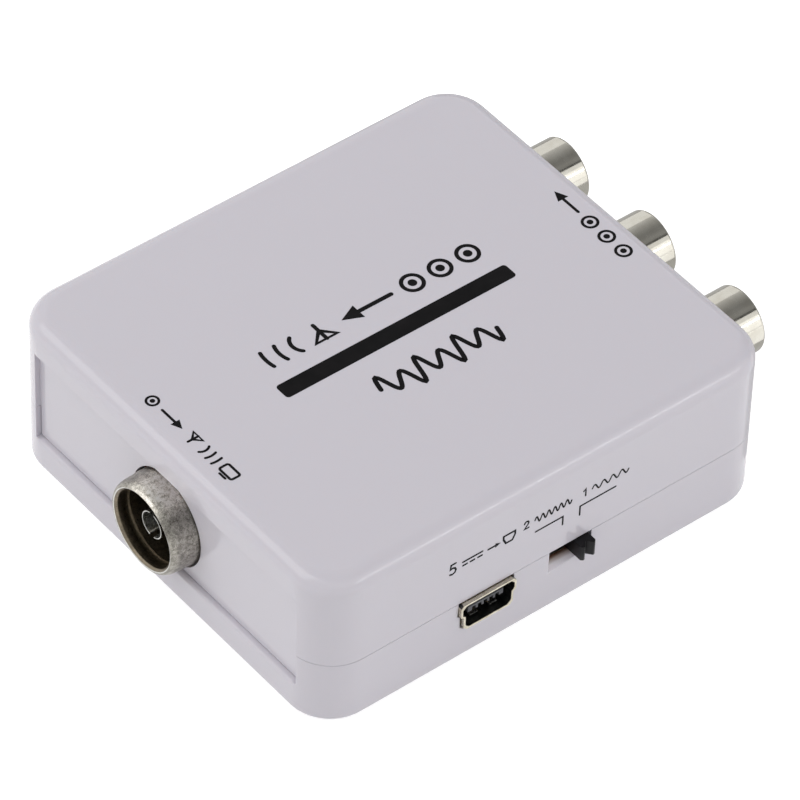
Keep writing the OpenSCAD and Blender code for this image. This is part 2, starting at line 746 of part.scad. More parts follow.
module supply_socket_contacts() {
    front_y = usb_front_y + tongue_back + seat_gap;
    lead_y = usb_back_y + usb_contact_t + usb_wall;
    color("gold") for (n = usb_contacts_at) {
        x = usb_x + n * usb_pitch;
        block([usb_contact_w, lead_y - front_y, usb_contact_t],
            [x, (lead_y + front_y) / 2, board_top + tongue_rise]);
        block([usb_contact_w, usb_contact_t, tongue_rise + usb_contact_t],
            [x, lead_y - usb_contact_t / 2, board_top]);
        block([usb_contact_w, leg_w, usb_contact_t],
            [x, lead_y + leg_w / 2 - usb_contact_t, board_top]);
    }
}

// Channel switch

module switch_frame() {
    color("silver") {
        difference() {
            block([frame_w, frame_d, frame_h], [switch_x, frame_y + frame_d / 2, board_top]);
            block([frame_w - 2 * frame_t, frame_d, frame_h - 2 * frame_t],
                [switch_x, frame_y + frame_t + frame_d / 2, board_top + frame_t]);
            block([window_w, 2 * over, knob_h + frame_t], [switch_x, frame_y, knob_z - (knob_h + frame_t) / 2]);
        }
        for (side = [-1, 1]) {
            block([frame_t, leg_w, board_top - leg_foot_z + frame_t],
                [switch_x + side * (frame_w - frame_t) / 2, frame_y + frame_d / 2, leg_foot_z]);
        }
    }
}

module switch_base() {
    size_x = frame_w - 2 * (frame_t + seat_gap);
    size_z = frame_h - 2 * (frame_t + seat_gap);
    color("peru") difference() {
        block([size_x, switch_base_t, size_z],
            [switch_x, base_y + switch_base_t / 2, board_top + frame_t + seat_gap]);
        for (n = terminals_at) {
            block([terminal_w / 2 + 2 * seat_gap, switch_base_t + over, terminal_t + 2 * seat_gap],
                [switch_x + n * switch_travel, base_y + switch_base_t / 2, knob_z - terminal_t / 2 - seat_gap]);
        }
    }
}

module switch_terminals() {
    pad_h = terminal_w;
    color("gold") for (n = terminals_at) {
        x = switch_x + n * switch_travel;
        run_l = terminal_tail_y + terminal_t / 2 - base_y + terminal_t;
        block([terminal_w, terminal_t, pad_h], [x, base_y - terminal_t / 2, knob_z - pad_h / 2]);
        block([terminal_w / 2, run_l, terminal_t], [x, base_y - terminal_t + run_l / 2, knob_z - terminal_t / 2]);
        block([terminal_w / 2, terminal_t, knob_z + terminal_t / 2 - leg_foot_z], [x, terminal_tail_y, leg_foot_z]);
    }
}

module switch_knob() {
    tip_y = -(case_w / 2 + knob_stick_out);
    carriage_h = frame_h - 2 * (frame_t + slide_gap);
    color("#202020") {
        block([carriage_w, carriage_t, carriage_h],
            [knob_x, carriage_y + carriage_t / 2, board_top + frame_t + slide_gap]);
        translate([knob_x, 0, knob_z - knob_h / 2]) linear_extrude(knob_h) polygon([
            [-knob_w / 2, carriage_y + carriage_t / 2], [-knob_w / 2, tip_y + knob_bevel],
            [-knob_w / 2 + knob_bevel, tip_y], [-knob_notch_w / 2, tip_y], [0, tip_y + knob_notch_d],
            [knob_notch_w / 2, tip_y], [knob_w / 2 - knob_bevel, tip_y], [knob_w / 2, tip_y + knob_bevel],
            [knob_w / 2, carriage_y + carriage_t / 2]
        ]);
    }
}

module switch_wiper() {
    foot_y = base_y - terminal_t - wiper_gap;
    foot_l = foot_y - carriage_back_y;
    color("goldenrod") {
        block([switch_travel + 2 * wiper_t, wiper_t, terminal_w],
            [knob_x, carriage_back_y + wiper_t / 2, knob_z - terminal_w / 2]);
        for (side = [-1, 1]) {
            block([2 * wiper_t, foot_l, terminal_w / 2],
                [knob_x + side * switch_travel / 2, carriage_back_y + foot_l / 2, knob_z - terminal_w / 4]);
        }
    }
}

// Parts on the board

module shield_can() {
    color("gainsboro") difference() {
        block([can_l, can_w, can_h], can_at);
        block([can_l - 2 * can_t, can_w - 2 * can_t, can_h + over], can_at);
    }
}

module shield_lid() {
    rim_gap = can_t + seat_gap;
    color("lightgray") difference() {
        block([can_l + 2 * rim_gap, can_w + 2 * rim_gap, can_rim_h + can_t],
            can_at + [0, 0, can_h - can_rim_h]);
        block([can_l + 2 * seat_gap, can_w + 2 * seat_gap, can_rim_h + over],
            can_at + [0, 0, can_h - can_rim_h - over]);
    }
}

module modulator_chip() {
    stand = chip_h / 16;
    color("#303030") difference() {
        block([chip_l, chip_w, chip_h - stand], can_at + [0, 0, stand]);
        translate(can_at + [-chip_l / 2, 0, chip_h]) cylinder(h = 2 * stand, r = chip_w / 8, center = true);
    }
}

module chip_leads() {
    lead_w = lead_pitch / 3;
    lead_t = chip_h / 8;
    shoulder = lead_w;
    color("silver") for (side = [-1, 1], n = [0:leads_a_side - 1]) {
        x = (n - (leads_a_side - 1) / 2) * lead_pitch;
        y = side * (chip_w + shoulder) / 2;
        block([lead_w, shoulder + lead_t, lead_t], can_at + [x, y + side * lead_t / 2, chip_h / 2]);
        block([lead_w, lead_t, chip_h / 2 + lead_t], can_at + [x, y + side * (shoulder + lead_t) / 2, 0]);
        block([lead_w, 2 * shoulder, lead_t], can_at + [x, y + side * (3 * shoulder + lead_t) / 2, 0]);
    }
}

module crystal() {
    color("silver") translate(on_board(crystal_share)) {
        linear_extrude(crystal_h) rounded_rect(crystal_l - crystal_w / 8, crystal_w * 7 / 8, crystal_w * 3 / 8);
        linear_extrude(crystal_h / 8) rounded_rect(crystal_l, crystal_w, crystal_w * 7 / 16);
        for (side = [-1, 1]) {
            translate([side * crystal_lead_x, 0, leg_foot_z - board_top])
                cylinder(h = board_top - leg_foot_z, r = leg_t / 2);
        }
    }
}

module electrolytic_capacitors() {
    bead_r = electrolytic_r / 12;
    color("slategray") for (share = electrolytic_shares) {
        translate(on_board(share)) {
            rotate_extrude() polygon([
                [0, 0], [electrolytic_r - bead_r, 0], [electrolytic_r, bead_r], [electrolytic_r, 2 * bead_r],
                [electrolytic_r - bead_r, 3 * bead_r], [electrolytic_r, 4 * bead_r],
                [electrolytic_r, electrolytic_h - bead_r], [electrolytic_r - bead_r, electrolytic_h], [0, electrolytic_h]
            ]);
            for (side = [-1, 1]) {
                translate([side * electrolytic_lead_x, 0, leg_foot_z - board_top])
                    cylinder(h = board_top - leg_foot_z, r = leg_t / 2);
            }
        }
    }
}

module voltage_regulator() {
    pin_l = regulator_w / 2;
    pin_w = regulator_l / 9;
    pin_h = regulator_h / 6;
    color("#303030") translate(on_board(regulator_share)) {
        block([regulator_l, regulator_w, regulator_h], [0, 0, 0]);
        block([regulator_l / 2, regulator_w / 2, pin_h], [0, (regulator_w + pin_l) / 2, 0]);
        for (n = [-1, 0, 1]) {
            block([pin_w, pin_l, pin_h], [n * regulator_l / 3, -(regulator_w + pin_l) / 2, 0]);
        }
    }
}

module power_choke() {
    flange_h = choke_h / 5;
    color("#404040") translate(on_board(choke_share)) {
        cylinder(h = flange_h, r = choke_r);
        cylinder(h = choke_h, r = choke_r * 3 / 4);
        translate([0, 0, choke_h - flange_h]) cylinder(h = flange_h, r = choke_r);
    }
}

module polarity_diode() {
    tab_t = diode_h / 10;
    color("#303030") translate(on_board(diode_share)) {
        block([diode_l, diode_w, diode_h - tab_t], [0, 0, tab_t]);
        for (side = [-1, 1]) {
            block([tab_t, diode_w / 2, diode_h / 2], [side * (diode_l + tab_t) / 2, 0, 0]);
            block([diode_l / 4, diode_w / 2, tab_t], [side * (diode_l * 3 / 8 + tab_t), 0, 0]);
        }
    }
}

// A small part with a metal cap at each end
module small_part(share, h) {
    cap = small_l / 5;
    translate(on_board(share)) {
        block([small_l - 2 * cap, small_w - h / 10, h - h / 10], [0, 0, h / 20]);
        for (side = [-1, 1]) {
            block([cap, small_w, h], [side * (small_l - cap) / 2, 0, 0]);
        }
    }
}

module ceramic_capacitors() {
    color("burlywood") for (share = ceramic_shares) {
        small_part(share, ceramic_h);
    }
}

module resistors() {
    color("#303030") for (share = resistor_shares) {
        small_part(share, resistor_h);
    }
}

top_shell();
bottom_shell();
circuit_board();
aerial_socket_shell();
aerial_socket_insulator();
aerial_socket_contact();
socket_barrel(phono_ys[0]);  // video_socket_barrel
socket_insert(phono_ys[0], "gold");  // video_socket_insert
socket_contact(phono_ys[0]);  // video_socket_contact
socket_housing(phono_ys[0]);  // video_socket_housing
socket_barrel(phono_ys[1]);  // left_socket_barrel
socket_insert(phono_ys[1], "white");  // left_socket_insert
socket_contact(phono_ys[1]);  // left_socket_contact
socket_housing(phono_ys[1]);  // left_socket_housing
socket_barrel(phono_ys[2]);  // right_socket_barrel
socket_insert(phono_ys[2], "red");  // right_socket_insert
socket_contact(phono_ys[2]);  // right_socket_contact
socket_housing(phono_ys[2]);  // right_socket_housing
supply_socket_shell();
supply_socket_block();
supply_socket_contacts();
switch_frame();
switch_base();
switch_terminals();
switch_knob();
switch_wiper();
shield_can();
shield_lid();
modulator_chip();
chip_leads();
crystal();
electrolytic_capacitors();
voltage_regulator();
power_choke();
polarity_diode();
ceramic_capacitors();
resistors();
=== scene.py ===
# %% [markdown]
# # A small white converter box
#
# The object is a plastic box a little larger than a matchbox, with metal sockets on three of
# its sides. Its construction comes ready made from a CAD model, which is loaded here as a fixed
# frame. This lesson adds what CAD leaves out: softened edges, moulded, plated and cast finishes,
# printed marks, a camera and soft studio light.

# %% Load the frame
import json
import math
import bmesh
import bpy
from mathutils import Matrix, Vector

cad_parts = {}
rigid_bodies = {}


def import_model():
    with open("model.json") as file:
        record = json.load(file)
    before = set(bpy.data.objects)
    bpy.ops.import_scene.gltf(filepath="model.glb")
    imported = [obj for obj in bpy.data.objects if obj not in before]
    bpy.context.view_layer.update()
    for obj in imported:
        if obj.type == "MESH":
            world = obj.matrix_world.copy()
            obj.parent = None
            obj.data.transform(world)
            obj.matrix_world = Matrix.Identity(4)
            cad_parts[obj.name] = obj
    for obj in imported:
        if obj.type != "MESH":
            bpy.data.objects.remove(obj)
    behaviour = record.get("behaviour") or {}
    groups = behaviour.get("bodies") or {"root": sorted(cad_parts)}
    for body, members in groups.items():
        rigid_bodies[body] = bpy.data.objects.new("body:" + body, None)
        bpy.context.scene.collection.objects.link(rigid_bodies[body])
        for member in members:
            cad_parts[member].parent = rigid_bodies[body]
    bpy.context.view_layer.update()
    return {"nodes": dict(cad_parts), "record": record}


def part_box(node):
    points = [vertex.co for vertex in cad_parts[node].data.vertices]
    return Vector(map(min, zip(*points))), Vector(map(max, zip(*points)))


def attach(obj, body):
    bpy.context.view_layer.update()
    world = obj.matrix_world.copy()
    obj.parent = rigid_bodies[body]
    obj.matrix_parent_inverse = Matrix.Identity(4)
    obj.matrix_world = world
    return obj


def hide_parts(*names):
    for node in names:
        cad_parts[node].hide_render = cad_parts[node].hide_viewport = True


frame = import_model()

# %% [markdown]
# ## Sizes
#
# Everything is in metres, as in the frame, but an object this small is easier to think of in
# millimetres. One constant turns the first into the second. Every place below is read from the
# frame's own boxes, so a piece stays where the construction puts it.

# %% Read places from the frame
MM = 0.001


def middle(node):
    """The middle of a CAD node's box."""
    low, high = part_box(node)
    return (low + high) / 2


case_low, case_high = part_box("top_shell")
case_low.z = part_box("bottom_shell")[0].z
print("case, mm:", [round(v / MM, 2) for v in case_high - case_low])

# %% [markdown]
# ## The camera
#
# The photograph looks down on a corner of the box with a long lens, from about 0.7 m away. The
# camera is set by angles, a distance and the point that it looks at. A small roll tilts the
# picture. Its axes are worked out from the angles, so no tracking constraint is needed.

# %% Place the camera
AZIMUTH = math.radians(-39.926)
ELEVATION = math.radians(44.768)
ROLL = math.radians(2.051)
CAMERA_DISTANCE = 704.9 * MM
LOOKED_AT = Vector((4.071, 3.121, 5.047)) * MM
SENSOR = 36
LENS = 284.49


def placed(name, data):
    """A new object with this data, put into the scene."""
    thing = bpy.data.objects.new(name, data)
    bpy.context.scene.collection.objects.link(thing)
    return thing


backward = Vector((math.sin(AZIMUTH) * math.cos(ELEVATION), -math.cos(AZIMUTH) * math.cos(ELEVATION),
                   math.sin(ELEVATION)))
level_right = Vector((math.cos(AZIMUTH), math.sin(AZIMUTH), 0))
level_up = backward.cross(level_right)
right = level_right * math.cos(ROLL) + level_up * math.sin(ROLL)
up = level_up * math.cos(ROLL) - level_right * math.sin(ROLL)
turn = Matrix((right, up, backward)).transposed()
camera = placed("camera", bpy.data.cameras.new("camera"))
camera.matrix_world = Matrix.Translation(LOOKED_AT + backward * CAMERA_DISTANCE) @ turn.to_4x4()
camera.data.lens = LENS
camera.data.sensor_width = SENSOR
camera.data.clip_start = 10 * MM
bpy.context.scene.camera = camera
print("camera at, mm:", [round(v / MM, 1) for v in camera.matrix_world.translation])

# %% [markdown]
# ## Helpers for materials
#
# Colours are written as sRGB hex values, as a paint chart gives them, and one function turns
# them into the linear values that the shaders work with. A second function adds one shader node
# with its settings and its inputs, so that a material reads as a short list. A third starts a
# material with the values that every finish needs, and a fourth links what drives them.

# %% Colours, nodes and new finishes
def linear(hex_colour):
    """An sRGB hex colour as linear red, green, blue and alpha, by the standard's own curve."""
    shares = [int(hex_colour[i:i + 2], 16) / 255 for i in (1, 3, 5)]
    curved = [s / 12.92 if s <= 0.04045 else ((s + 0.055) / 1.055) ** 2.4 for s in shares]
    return (*curved, 1)


def add(tree, kind, inputs=None, **settings):
    """Adds a node. Settings are its own properties; an input is a value, or a socket to link."""
    made = tree.nodes.new("ShaderNode" + kind)
    for name, value in settings.items():
        setattr(made, name, value)
    for key, value in (inputs or {}).items():
        if isinstance(value, bpy.types.NodeSocket):
            tree.links.new(value, made.inputs[key])
        else:
            made.inputs[key].default_value = value
    return made


def new_finish(name, hex_colour, roughness, metallic=0.0, **sockets):
    """A material with one Principled shader. Returns the material, its tree and the shader.

    Further sockets are given by name with underscores, such as specular_ior_level.
    """
    material = bpy.data.materials.new(name)
    material.use_nodes = True
    shader = material.node_tree.nodes["Principled BSDF"]
    shader.inputs["Base Color"].default_value = linear(hex_colour)
    shader.inputs["Roughness"].default_value = roughness
    shader.inputs["Metallic"].default_value = metallic
    for key, value in sockets.items():
        shader.inputs[key.replace("_", " ").title().replace("Ior", "IOR")].default_value = value
    return material, material.node_tree, shader


def feed(tree, shader, colour=None, roughness=None, normal=None):
    """Links the nodes that drive a shader's colour, roughness and normal."""
    for key, source in (("Base Color", colour), ("Roughness", roughness), ("Normal", normal)):
        if source:
            tree.links.new(source.outputs[0], shader.inputs[key])


print("white as linear:", linear("#ffffff")[0])

# %% [markdown]
# Real surfaces are never even. One cloudy noise, of a stated size in millimetres, makes their
# unevenness. It is turned into a range of roughness, into two tones, or into dents of a stated
# depth. Where a colour follows a place instead, a ramp runs along an axis of the piece.

# %% Patterns and dents
NOISE_LOW, NOISE_HIGH = 0.3, 0.7


def across(tree, size_mm, detail=2.0, roughness=0.5, distortion=0.0):
    """A cloudy noise whose features are about size_mm across, fixed to the piece."""
    place = add(tree, "TexCoord")
    return add(tree, "TexNoise", {"Vector": place.outputs["Object"], "Scale": 1 / (size_mm * MM), "Detail": detail,
                                  "Roughness": roughness, "Distortion": distortion})


def drifting(tree, size_mm, low, high, **noise):
    """A roughness that drifts between low and high in patches about size_mm across."""
    patches = across(tree, size_mm, **noise)
    return add(tree, "MapRange", {"Value": patches.outputs["Fac"], "From Min": NOISE_LOW, "From Max": NOISE_HIGH,
                                  "To Min": low, "To Max": high})


def mottled(tree, size_mm, hex_a, hex_b, start=0.35, end=0.65, **noise):
    """Two colours in patches about size_mm across, with a ramp between them."""
    ramp = add(tree, "ValToRGB", {"Fac": across(tree, size_mm, **noise).outputs["Fac"]})
    for stop, place, tint in zip(ramp.color_ramp.elements, (start, end), (hex_a, hex_b)):
        stop.position = place
        stop.color = linear(tint)
    return ramp


def dented(tree, size_mm, depth_mm, strength, under=None, **noise):
    """Dents about size_mm across and depth_mm deep, on top of the dents under them."""
    height = across(tree, size_mm, **noise).outputs["Fac"]
    inputs = {"Height": height, "Distance": depth_mm * MM, "Strength": strength}
    if under:
        inputs["Normal"] = under.outputs["Normal"]
    return add(tree, "Bump", inputs)


def ramp_along(tree, axis, first, last):
    """A colour ramp that runs from one place to another along an axis."""
    place = add(tree, "TexCoord")
    apart = add(tree, "SeparateXYZ", {"Vector": place.outputs["Object"]})
    share = add(tree, "MapRange", {"Value": apart.outputs[axis], "From Min": first, "From Max": last})
    return add(tree, "ValToRGB", {"Fac": share.outputs["Result"]})


print("pattern helpers:", [f.__name__ for f in (across, drifting, mottled, dented, ramp_along)])

# %% [markdown]
# ## Glossy moulded ABS
#
# The case is ABS, injection-moulded in a polished steel mould: an off-white with a faint lilac
# cast. ABS reflects with an IOR near 1.54. It lets a little light in, which softens the shade in
# the socket's hole, so it gets slight subsurface scattering. A polished moulding is never quite
# flat: a wave about 6 mm long and a few thousandths of a millimetre high bends its reflections.
# The roughness drifts a little too, where hands have touched it.

# %% Case plastic
ABS_IOR = 1.54


def scattering(shader, weight, colours, depth_mm):
    """Lets light into a plastic, as deep as depth_mm, by a share for red, green and blue."""
    shader.inputs["Subsurface Weight"].default_value = weight
    shader.inputs["Subsurface Radius"].default_value = colours
    shader.inputs["Subsurface Scale"].default_value = depth_mm * MM


def moulded_abs(name, hex_colour):
    """Glossy moulded plastic with a long, shallow wave and a drifting roughness."""
    material, tree, shader = new_finish(name, hex_colour, 0.2, ior=ABS_IOR)
    scattering(shader, 0.12, (1.0, 0.72, 0.6), 0.9)
    long_wave = dented(tree, 6, 0.012, 0.5, detail=1)
    fine_wave = dented(tree, 0.4, 0.0012, 0.5, under=long_wave, detail=3)
    handled = drifting(tree, 9, 0.11, 0.19, detail=4, roughness=0.6)
    feed(tree, shader, roughness=handled, normal=fine_wave)
    return material


white_abs = moulded_abs("moulded_white_abs", "#d3cfd7")
print("material:", white_abs.name)

# %% [markdown]
# More light passes through the floor of the switch's slot than through the rest. Its colour is
# painted lighter than the case, a painted light that lifts the slot's shade, and its inner end is
# painted brown, as painted light thrown by the brown switch behind it.

# %% Slot floor with painted light
WALL = 1.6 * MM


def slot_floor_painted_light(back_y, front_y):
    """Plastic with painted light: brown at its inner end, light in the middle and like the case in front."""
    material, tree, shader = new_finish("slot_floor_abs_painted_light", "#ece9ef", 0.3, ior=ABS_IOR)
    scattering(shader, 0.9, (0.95, 1.0, 1.0), 1.4)
    ramp = ramp_along(tree, "Y", back_y, front_y)
    ramp.color_ramp.elements[0].color = linear("#553527")
    ramp.color_ramp.elements[1].color = linear("#d3cfd7")
    for place_on, tint in ((0.14, "#7d5a4a"), (0.38, "#dccfca"), (0.7, "#fbf5fb")):
        ramp.color_ramp.elements.new(place_on).color = linear(tint)
    feed(tree, shader, ramp)
    return material


# The slot's floor is painted lighter than the case, with a brown inner end: painted light.
slot_abs_painted_light = slot_floor_painted_light(case_low.y + WALL, case_low.y)
print("material:", slot_abs_painted_light.name)

# %% [markdown]
# ## Cast zinc
#
# The aerial socket is a zinc casting with a thin tin plate: a warm grey, mottled in patches of
# half a millimetre that are broken up by finer grains. Light is painted into its colour too: its
# nose is painted darker, a painted dark reflection, its top carries a painted highlight, and a
# painted dark reflection lies beside that. Its bore is painted darker and browner, as painted
# shade. Metals are metallic at 1 and keep the default IOR.

# %% The casting's skin and its painted reflections
RIM_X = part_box("aerial_socket_shell")[0].x
NOSE_END_X = RIM_X + 1.3 * MM
# Painted light in the casting's colour: the nose is painted darker as a painted dark reflection, the top gets a
# painted highlight and a painted dark reflection lies beside it.
NOSE_PAINTED_DARKNESS, NOSE_PAINTED_GREY = 0.3, "#4d4a45"
PAINTED_HIGHLIGHT_PATCH = {"middle_angle": 7, "outer_angle": 36, "inner_angle": 8, "factor": 2.5}
PAINTED_DARK_REFLECTION_PATCH = {"middle_angle": 48, "outer_angle": 22, "inner_angle": 4, "factor": 0.66}
BRIGHTEST_ZINC = (0.9, 0.88, 0.84)


def painted_reflection_patch(tree, around, middle_angle, outer_angle, inner_angle, factor):
    """A factor on a patch of a casting, and 1 elsewhere, used for both the painted highlight and the painted dark
    reflection. Angles in degrees run from the top towards -Y.
    """
    turned_by = math.radians(middle_angle)
    side = (0, -math.sin(turned_by), math.cos(turned_by))
    near = add(tree, "VectorMath", {0: around.outputs["Vector"], 1: side}, operation="DOT_PRODUCT")
    return add(tree, "MapRange", {"Value": near.outputs["Value"], "From Min": math.cos(math.radians(outer_angle)),
                                  "From Max": math.cos(math.radians(inner_angle)), "To Min": 1.0, "To Max": factor})


def painted_reflections(tree, tint):
    """A casting's tint with painted reflections: darker at the nose, a painted highlight on the top and a painted
    dark reflection beside it.
    """
    place = add(tree, "TexCoord")
    apart = add(tree, "SeparateXYZ", {"Vector": place.outputs["Object"]})
    nose_darkening = add(tree, "MapRange", {"Value": apart.outputs["X"], "From Min": RIM_X, "From Max": NOSE_END_X,
                                  "To Min": NOSE_PAINTED_DARKNESS, "To Max": 0.0})
    nose_darkened_tint = add(tree, "MixRGB", {"Fac": nose_darkening.outputs["Result"], "Color1": tint.outputs["Color"],
                                     "Color2": linear(NOSE_PAINTED_GREY)})
    from_axis = add(tree, "VectorMath", {0: place.outputs["Object"], 1: middle("aerial_socket_insulator")},
                    operation="SUBTRACT")
    flat = add(tree, "VectorMath", {0: from_axis.outputs["Vector"], 1: (0, 1, 1)}, operation="MULTIPLY")
    around = add(tree, "VectorMath", {0: flat.outputs["Vector"]}, operation="NORMALIZE")
    bright = painted_reflection_patch(tree, around, **PAINTED_HIGHLIGHT_PATCH)
    dull = painted_reflection_patch(tree, around, **PAINTED_DARK_REFLECTION_PATCH)
    factor = add(tree, "Math", {0: bright.outputs["Result"], 1: dull.outputs["Result"]}, operation="MULTIPLY")
    painted_tint = add(tree, "VectorMath", {0: nose_darkened_tint.outputs["Color"], "Scale": factor.outputs["Value"]},
                 operation="SCALE")
    return add(tree, "VectorMath", {0: painted_tint.outputs["Vector"], 1: BRIGHTEST_ZINC}, operation="MINIMUM")


def cast_zinc(name, hex_dark, hex_light, rough_low, rough_high):
    """A casting's mottled skin, with fine dents and painted reflections."""
    material, tree, shader = new_finish(name, hex_light, rough_low, 1.0)
    tint = mottled(tree, 0.5, hex_dark, hex_light, 0.43, 0.57, detail=12, roughness=0.95, distortion=0.15)
    handled = drifting(tree, 0.25, rough_low, rough_high, detail=5, roughness=0.75)
    skin = dented(tree, 0.12, 0.03, 0.8, detail=6, roughness=0.75)
    feed(tree, shader, painted_reflections(tree, tint), handled, skin)
    return material


zinc = cast_zinc("tinned_zinc_casting", "#5f5b54", "#cbc7be", 0.26, 0.5)
# The bore's zinc is painted darker and browner, as painted shade.
bore_zinc_painted_shade = cast_zinc("zinc_bore_painted_shade", "#6a6154", "#968a76", 0.25, 0.4)
print("castings:", zinc.name, bore_zinc_painted_shade.name)

# %% [markdown]
# ## Plated metals
#
# The phono barrels and the supply socket's shell are nickel-plated, smoother and yellower than
# chrome. Contacts are tin-plated or gold-flashed copper. A plate's tone hardly changes, but its
# roughness drifts, which keeps it from looking like a perfect mirror.

# %% Nickel, tin and gold plate
def plated(name, hex_light, hex_dark, rough_low, rough_high, patch_mm):
    """A plated sheet or turned part: two close tones, and a roughness that drifts."""
    material, tree, shader = new_finish(name, hex_light, rough_low, 1.0)
    tint = mottled(tree, patch_mm, hex_dark, hex_light, detail=4, roughness=0.6)
    handled = drifting(tree, patch_mm / 2, rough_low, rough_high, detail=3)
    skin = dented(tree, patch_mm / 6, 0.002, 0.4)
    feed(tree, shader, tint, handled, skin)
    return material


nickel = plated("polished_nickel_plate", "#d6d3c9", "#ccc8bd", 0.07, 0.13, 2.0)
shell_nickel = plated("bright_nickel_on_steel", "#d3cdbc", "#b9b2a0", 0.16, 0.3, 0.9)
tin = plated("bright_tin_plate", "#cfcfcb", "#b4b4b0", 0.18, 0.34, 1.2)
# A much darker tin for the supply socket shell's inside: painted shade.
shade_painted_tin = plated("inside_tin_painted_shade", "#5c5c5b", "#474746", 0.3, 0.45, 0.9)
gilt = plated("gold_flashed_copper", "#dcb76a", "#c09a4e", 0.18, 0.3, 0.8)
print("plates:", [m.name for m in (nickel, shell_nickel, tin, shade_painted_tin, gilt)])

# %% [markdown]
# ## Black and coloured plastics
#
# Socket blocks, chips and the switch's knob are black plastics with a satin to matt skin. Their
# grain is finer than the picture can show, so it is drawn at a tenth of a millimetre. The phono
# sockets' inserts are coloured by their signal: yellow for picture, white and red for sound.

# %% Moulded inserts, housings and chips
def satin_plastic(name, hex_colour, hex_worn, rough_low, rough_high, grain_mm=0.12, ior=1.5, shine=0.5):
    """A moulded plastic with a fine grain and slightly lighter patches of wear."""
    material, tree, shader = new_finish(name, hex_colour, rough_low, ior=ior, specular_ior_level=shine)
    tint = mottled(tree, 2.5, hex_colour, hex_worn, 0.4, 0.75, detail=5, roughness=0.6)
    handled = drifting(tree, 1.5, rough_low, rough_high, detail=3)
    grain = dented(tree, grain_mm, 0.006, 0.5)
    feed(tree, shader, tint, handled, grain)
    return material


black_housing = satin_plastic("moulded_black_pbt", "#1b1b1d", "#262628", 0.38, 0.55)
black_knob = satin_plastic("moulded_black_knob", "#0b0b0d", "#141316", 0.32, 0.45, grain_mm=0.2, shine=0.22)
charcoal_block = satin_plastic("moulded_charcoal_lcp", "#46464a", "#55555a", 0.45, 0.6)
chip_resin = satin_plastic("moulded_epoxy_resin", "#232325", "#2e2e31", 0.5, 0.68)
yellow_insert = satin_plastic("moulded_yellow_insert", "#e8b90f", "#efc631", 0.26, 0.4, ior=1.53)
white_insert = satin_plastic("moulded_white_insert", "#e4e2dc", "#ece9e2", 0.26, 0.4, ior=1.53)
red_insert = satin_plastic("moulded_red_insert", "#b51f1a", "#c4342c", 0.26, 0.4, ior=1.53)
phenolic = satin_plastic("pressed_phenolic_board", "#8a5a34", "#9c6b41", 0.45, 0.62, grain_mm=0.3)
ferrite = satin_plastic("sintered_ferrite", "#3d3d40", "#4b4b4e", 0.5, 0.72, grain_mm=0.08)
tan_ceramic = satin_plastic("fired_tan_ceramic", "#a88a66", "#b8996f", 0.4, 0.55)
print("materials so far, with the frame's own:", len(bpy.data.materials))

# %% [markdown]
# ## The printed circuit board
#
# Glass-epoxy board under a green solder mask. The copper tracks show through the mask as lighter
# lines about 0.5 mm wide, here drawn by a stepped pattern in rows about 3 mm apart. The mask is
# glossy over a faint weave of glass, whose threads lie a little under a millimetre apart.

# %% Solder mask over copper
BRICKS, TRACK_EVERY, TRACK_LENGTH, TRACK_HALF = 8 * MM, 3.2 * MM, 7.2 * MM, 0.24 * MM
THREE_THREADS = 3 * MM


def masked_board():
    """Green mask with lighter tracks and a faint weave."""
    material, tree, shader = new_finish("green_solder_mask", "#1f6b3a", 0.24, ior=1.55)
    place = add(tree, "TexCoord")
    tracks = add(tree, "TexBrick", {"Vector": place.outputs["Object"], "Color1": linear("#1d6737"),
                                    "Color2": linear("#23703f"), "Mortar": linear("#3f9156"),
                                    "Scale": 1 / BRICKS, "Mortar Size": TRACK_HALF / BRICKS,
                                    "Brick Width": TRACK_LENGTH / BRICKS, "Row Height": TRACK_EVERY / BRICKS})
    threads = add(tree, "TexWave", {"Vector": place.outputs["Object"], "Scale": 1 / THREE_THREADS, "Distortion": 1.0})
    weave = add(tree, "Bump", {"Height": threads.outputs["Fac"], "Distance": 0.004 * MM, "Strength": 0.4})
    feed(tree, shader, tracks, normal=weave)
    return material


green_board = masked_board()
print("material:", green_board.name)

# %% [markdown]
# ## From a shape to a piece
#
# Every piece is finished in the same way. Its faces are shaded smooth where they bend gently, and
# it gets its finish and a body to ride on. A piece that copies a CAD node also takes that node's
# place.

# %% Finishing a piece
SHARP = math.radians(28)


def body_of(node):
    """The name of the body that a CAD node belongs to."""
    return next(b for b, members in frame["record"]["behaviour"]["bodies"].items() if node in members)


def finished_piece(name, shape, finish, body):
    """Turns a bmesh into a piece: smooth over gentle bends, with its finish and body."""
    mesh = bpy.data.meshes.new(name)
    for face in shape.faces:
        face.smooth = True
    for edge in shape.edges:
        edge.smooth = len(edge.link_faces) == 2 and edge.calc_face_angle(0) < SHARP
    shape.to_mesh(mesh)
    shape.free()
    piece = placed(name, mesh)
    even = piece.modifiers.new("even_shading", "WEIGHTED_NORMAL")
    even.keep_sharp = True
    mesh.materials.append(finish)
    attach(piece, body)
    return piece


def stand_for(node, shape, finish):
    """A finished piece that takes the place of a CAD node."""
    piece = finished_piece(node + "_made", shape, finish, body_of(node))
    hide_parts(node)
    return piece


def finish_part(piece, finish, belongs):
    """Gives a further finish to the faces that pass a test."""
    piece.data.materials.append(finish)
    for face in piece.data.polygons:
        if belongs(face):
            face.material_index = len(piece.data.materials) - 1


print("the top shell is on the body:", body_of("top_shell"))

# %% [markdown]
# ## Softened edges
#
# A CAD solid has knife edges, but a moulding or a bent sheet never has. A rounded edge catches
# a thin line of light, and that line is most of what makes a small object look real. Each piece
# is a copy of its CAD node with the flat triangles merged into whole faces and its sharp edges
# beveled by a stated radius.

# %% Edge softening
FLAT = math.radians(0.4)
SAME_POINT = 0.0005 * MM
EDGE_STEPS = 2
ROUNDER_STEPS = 5


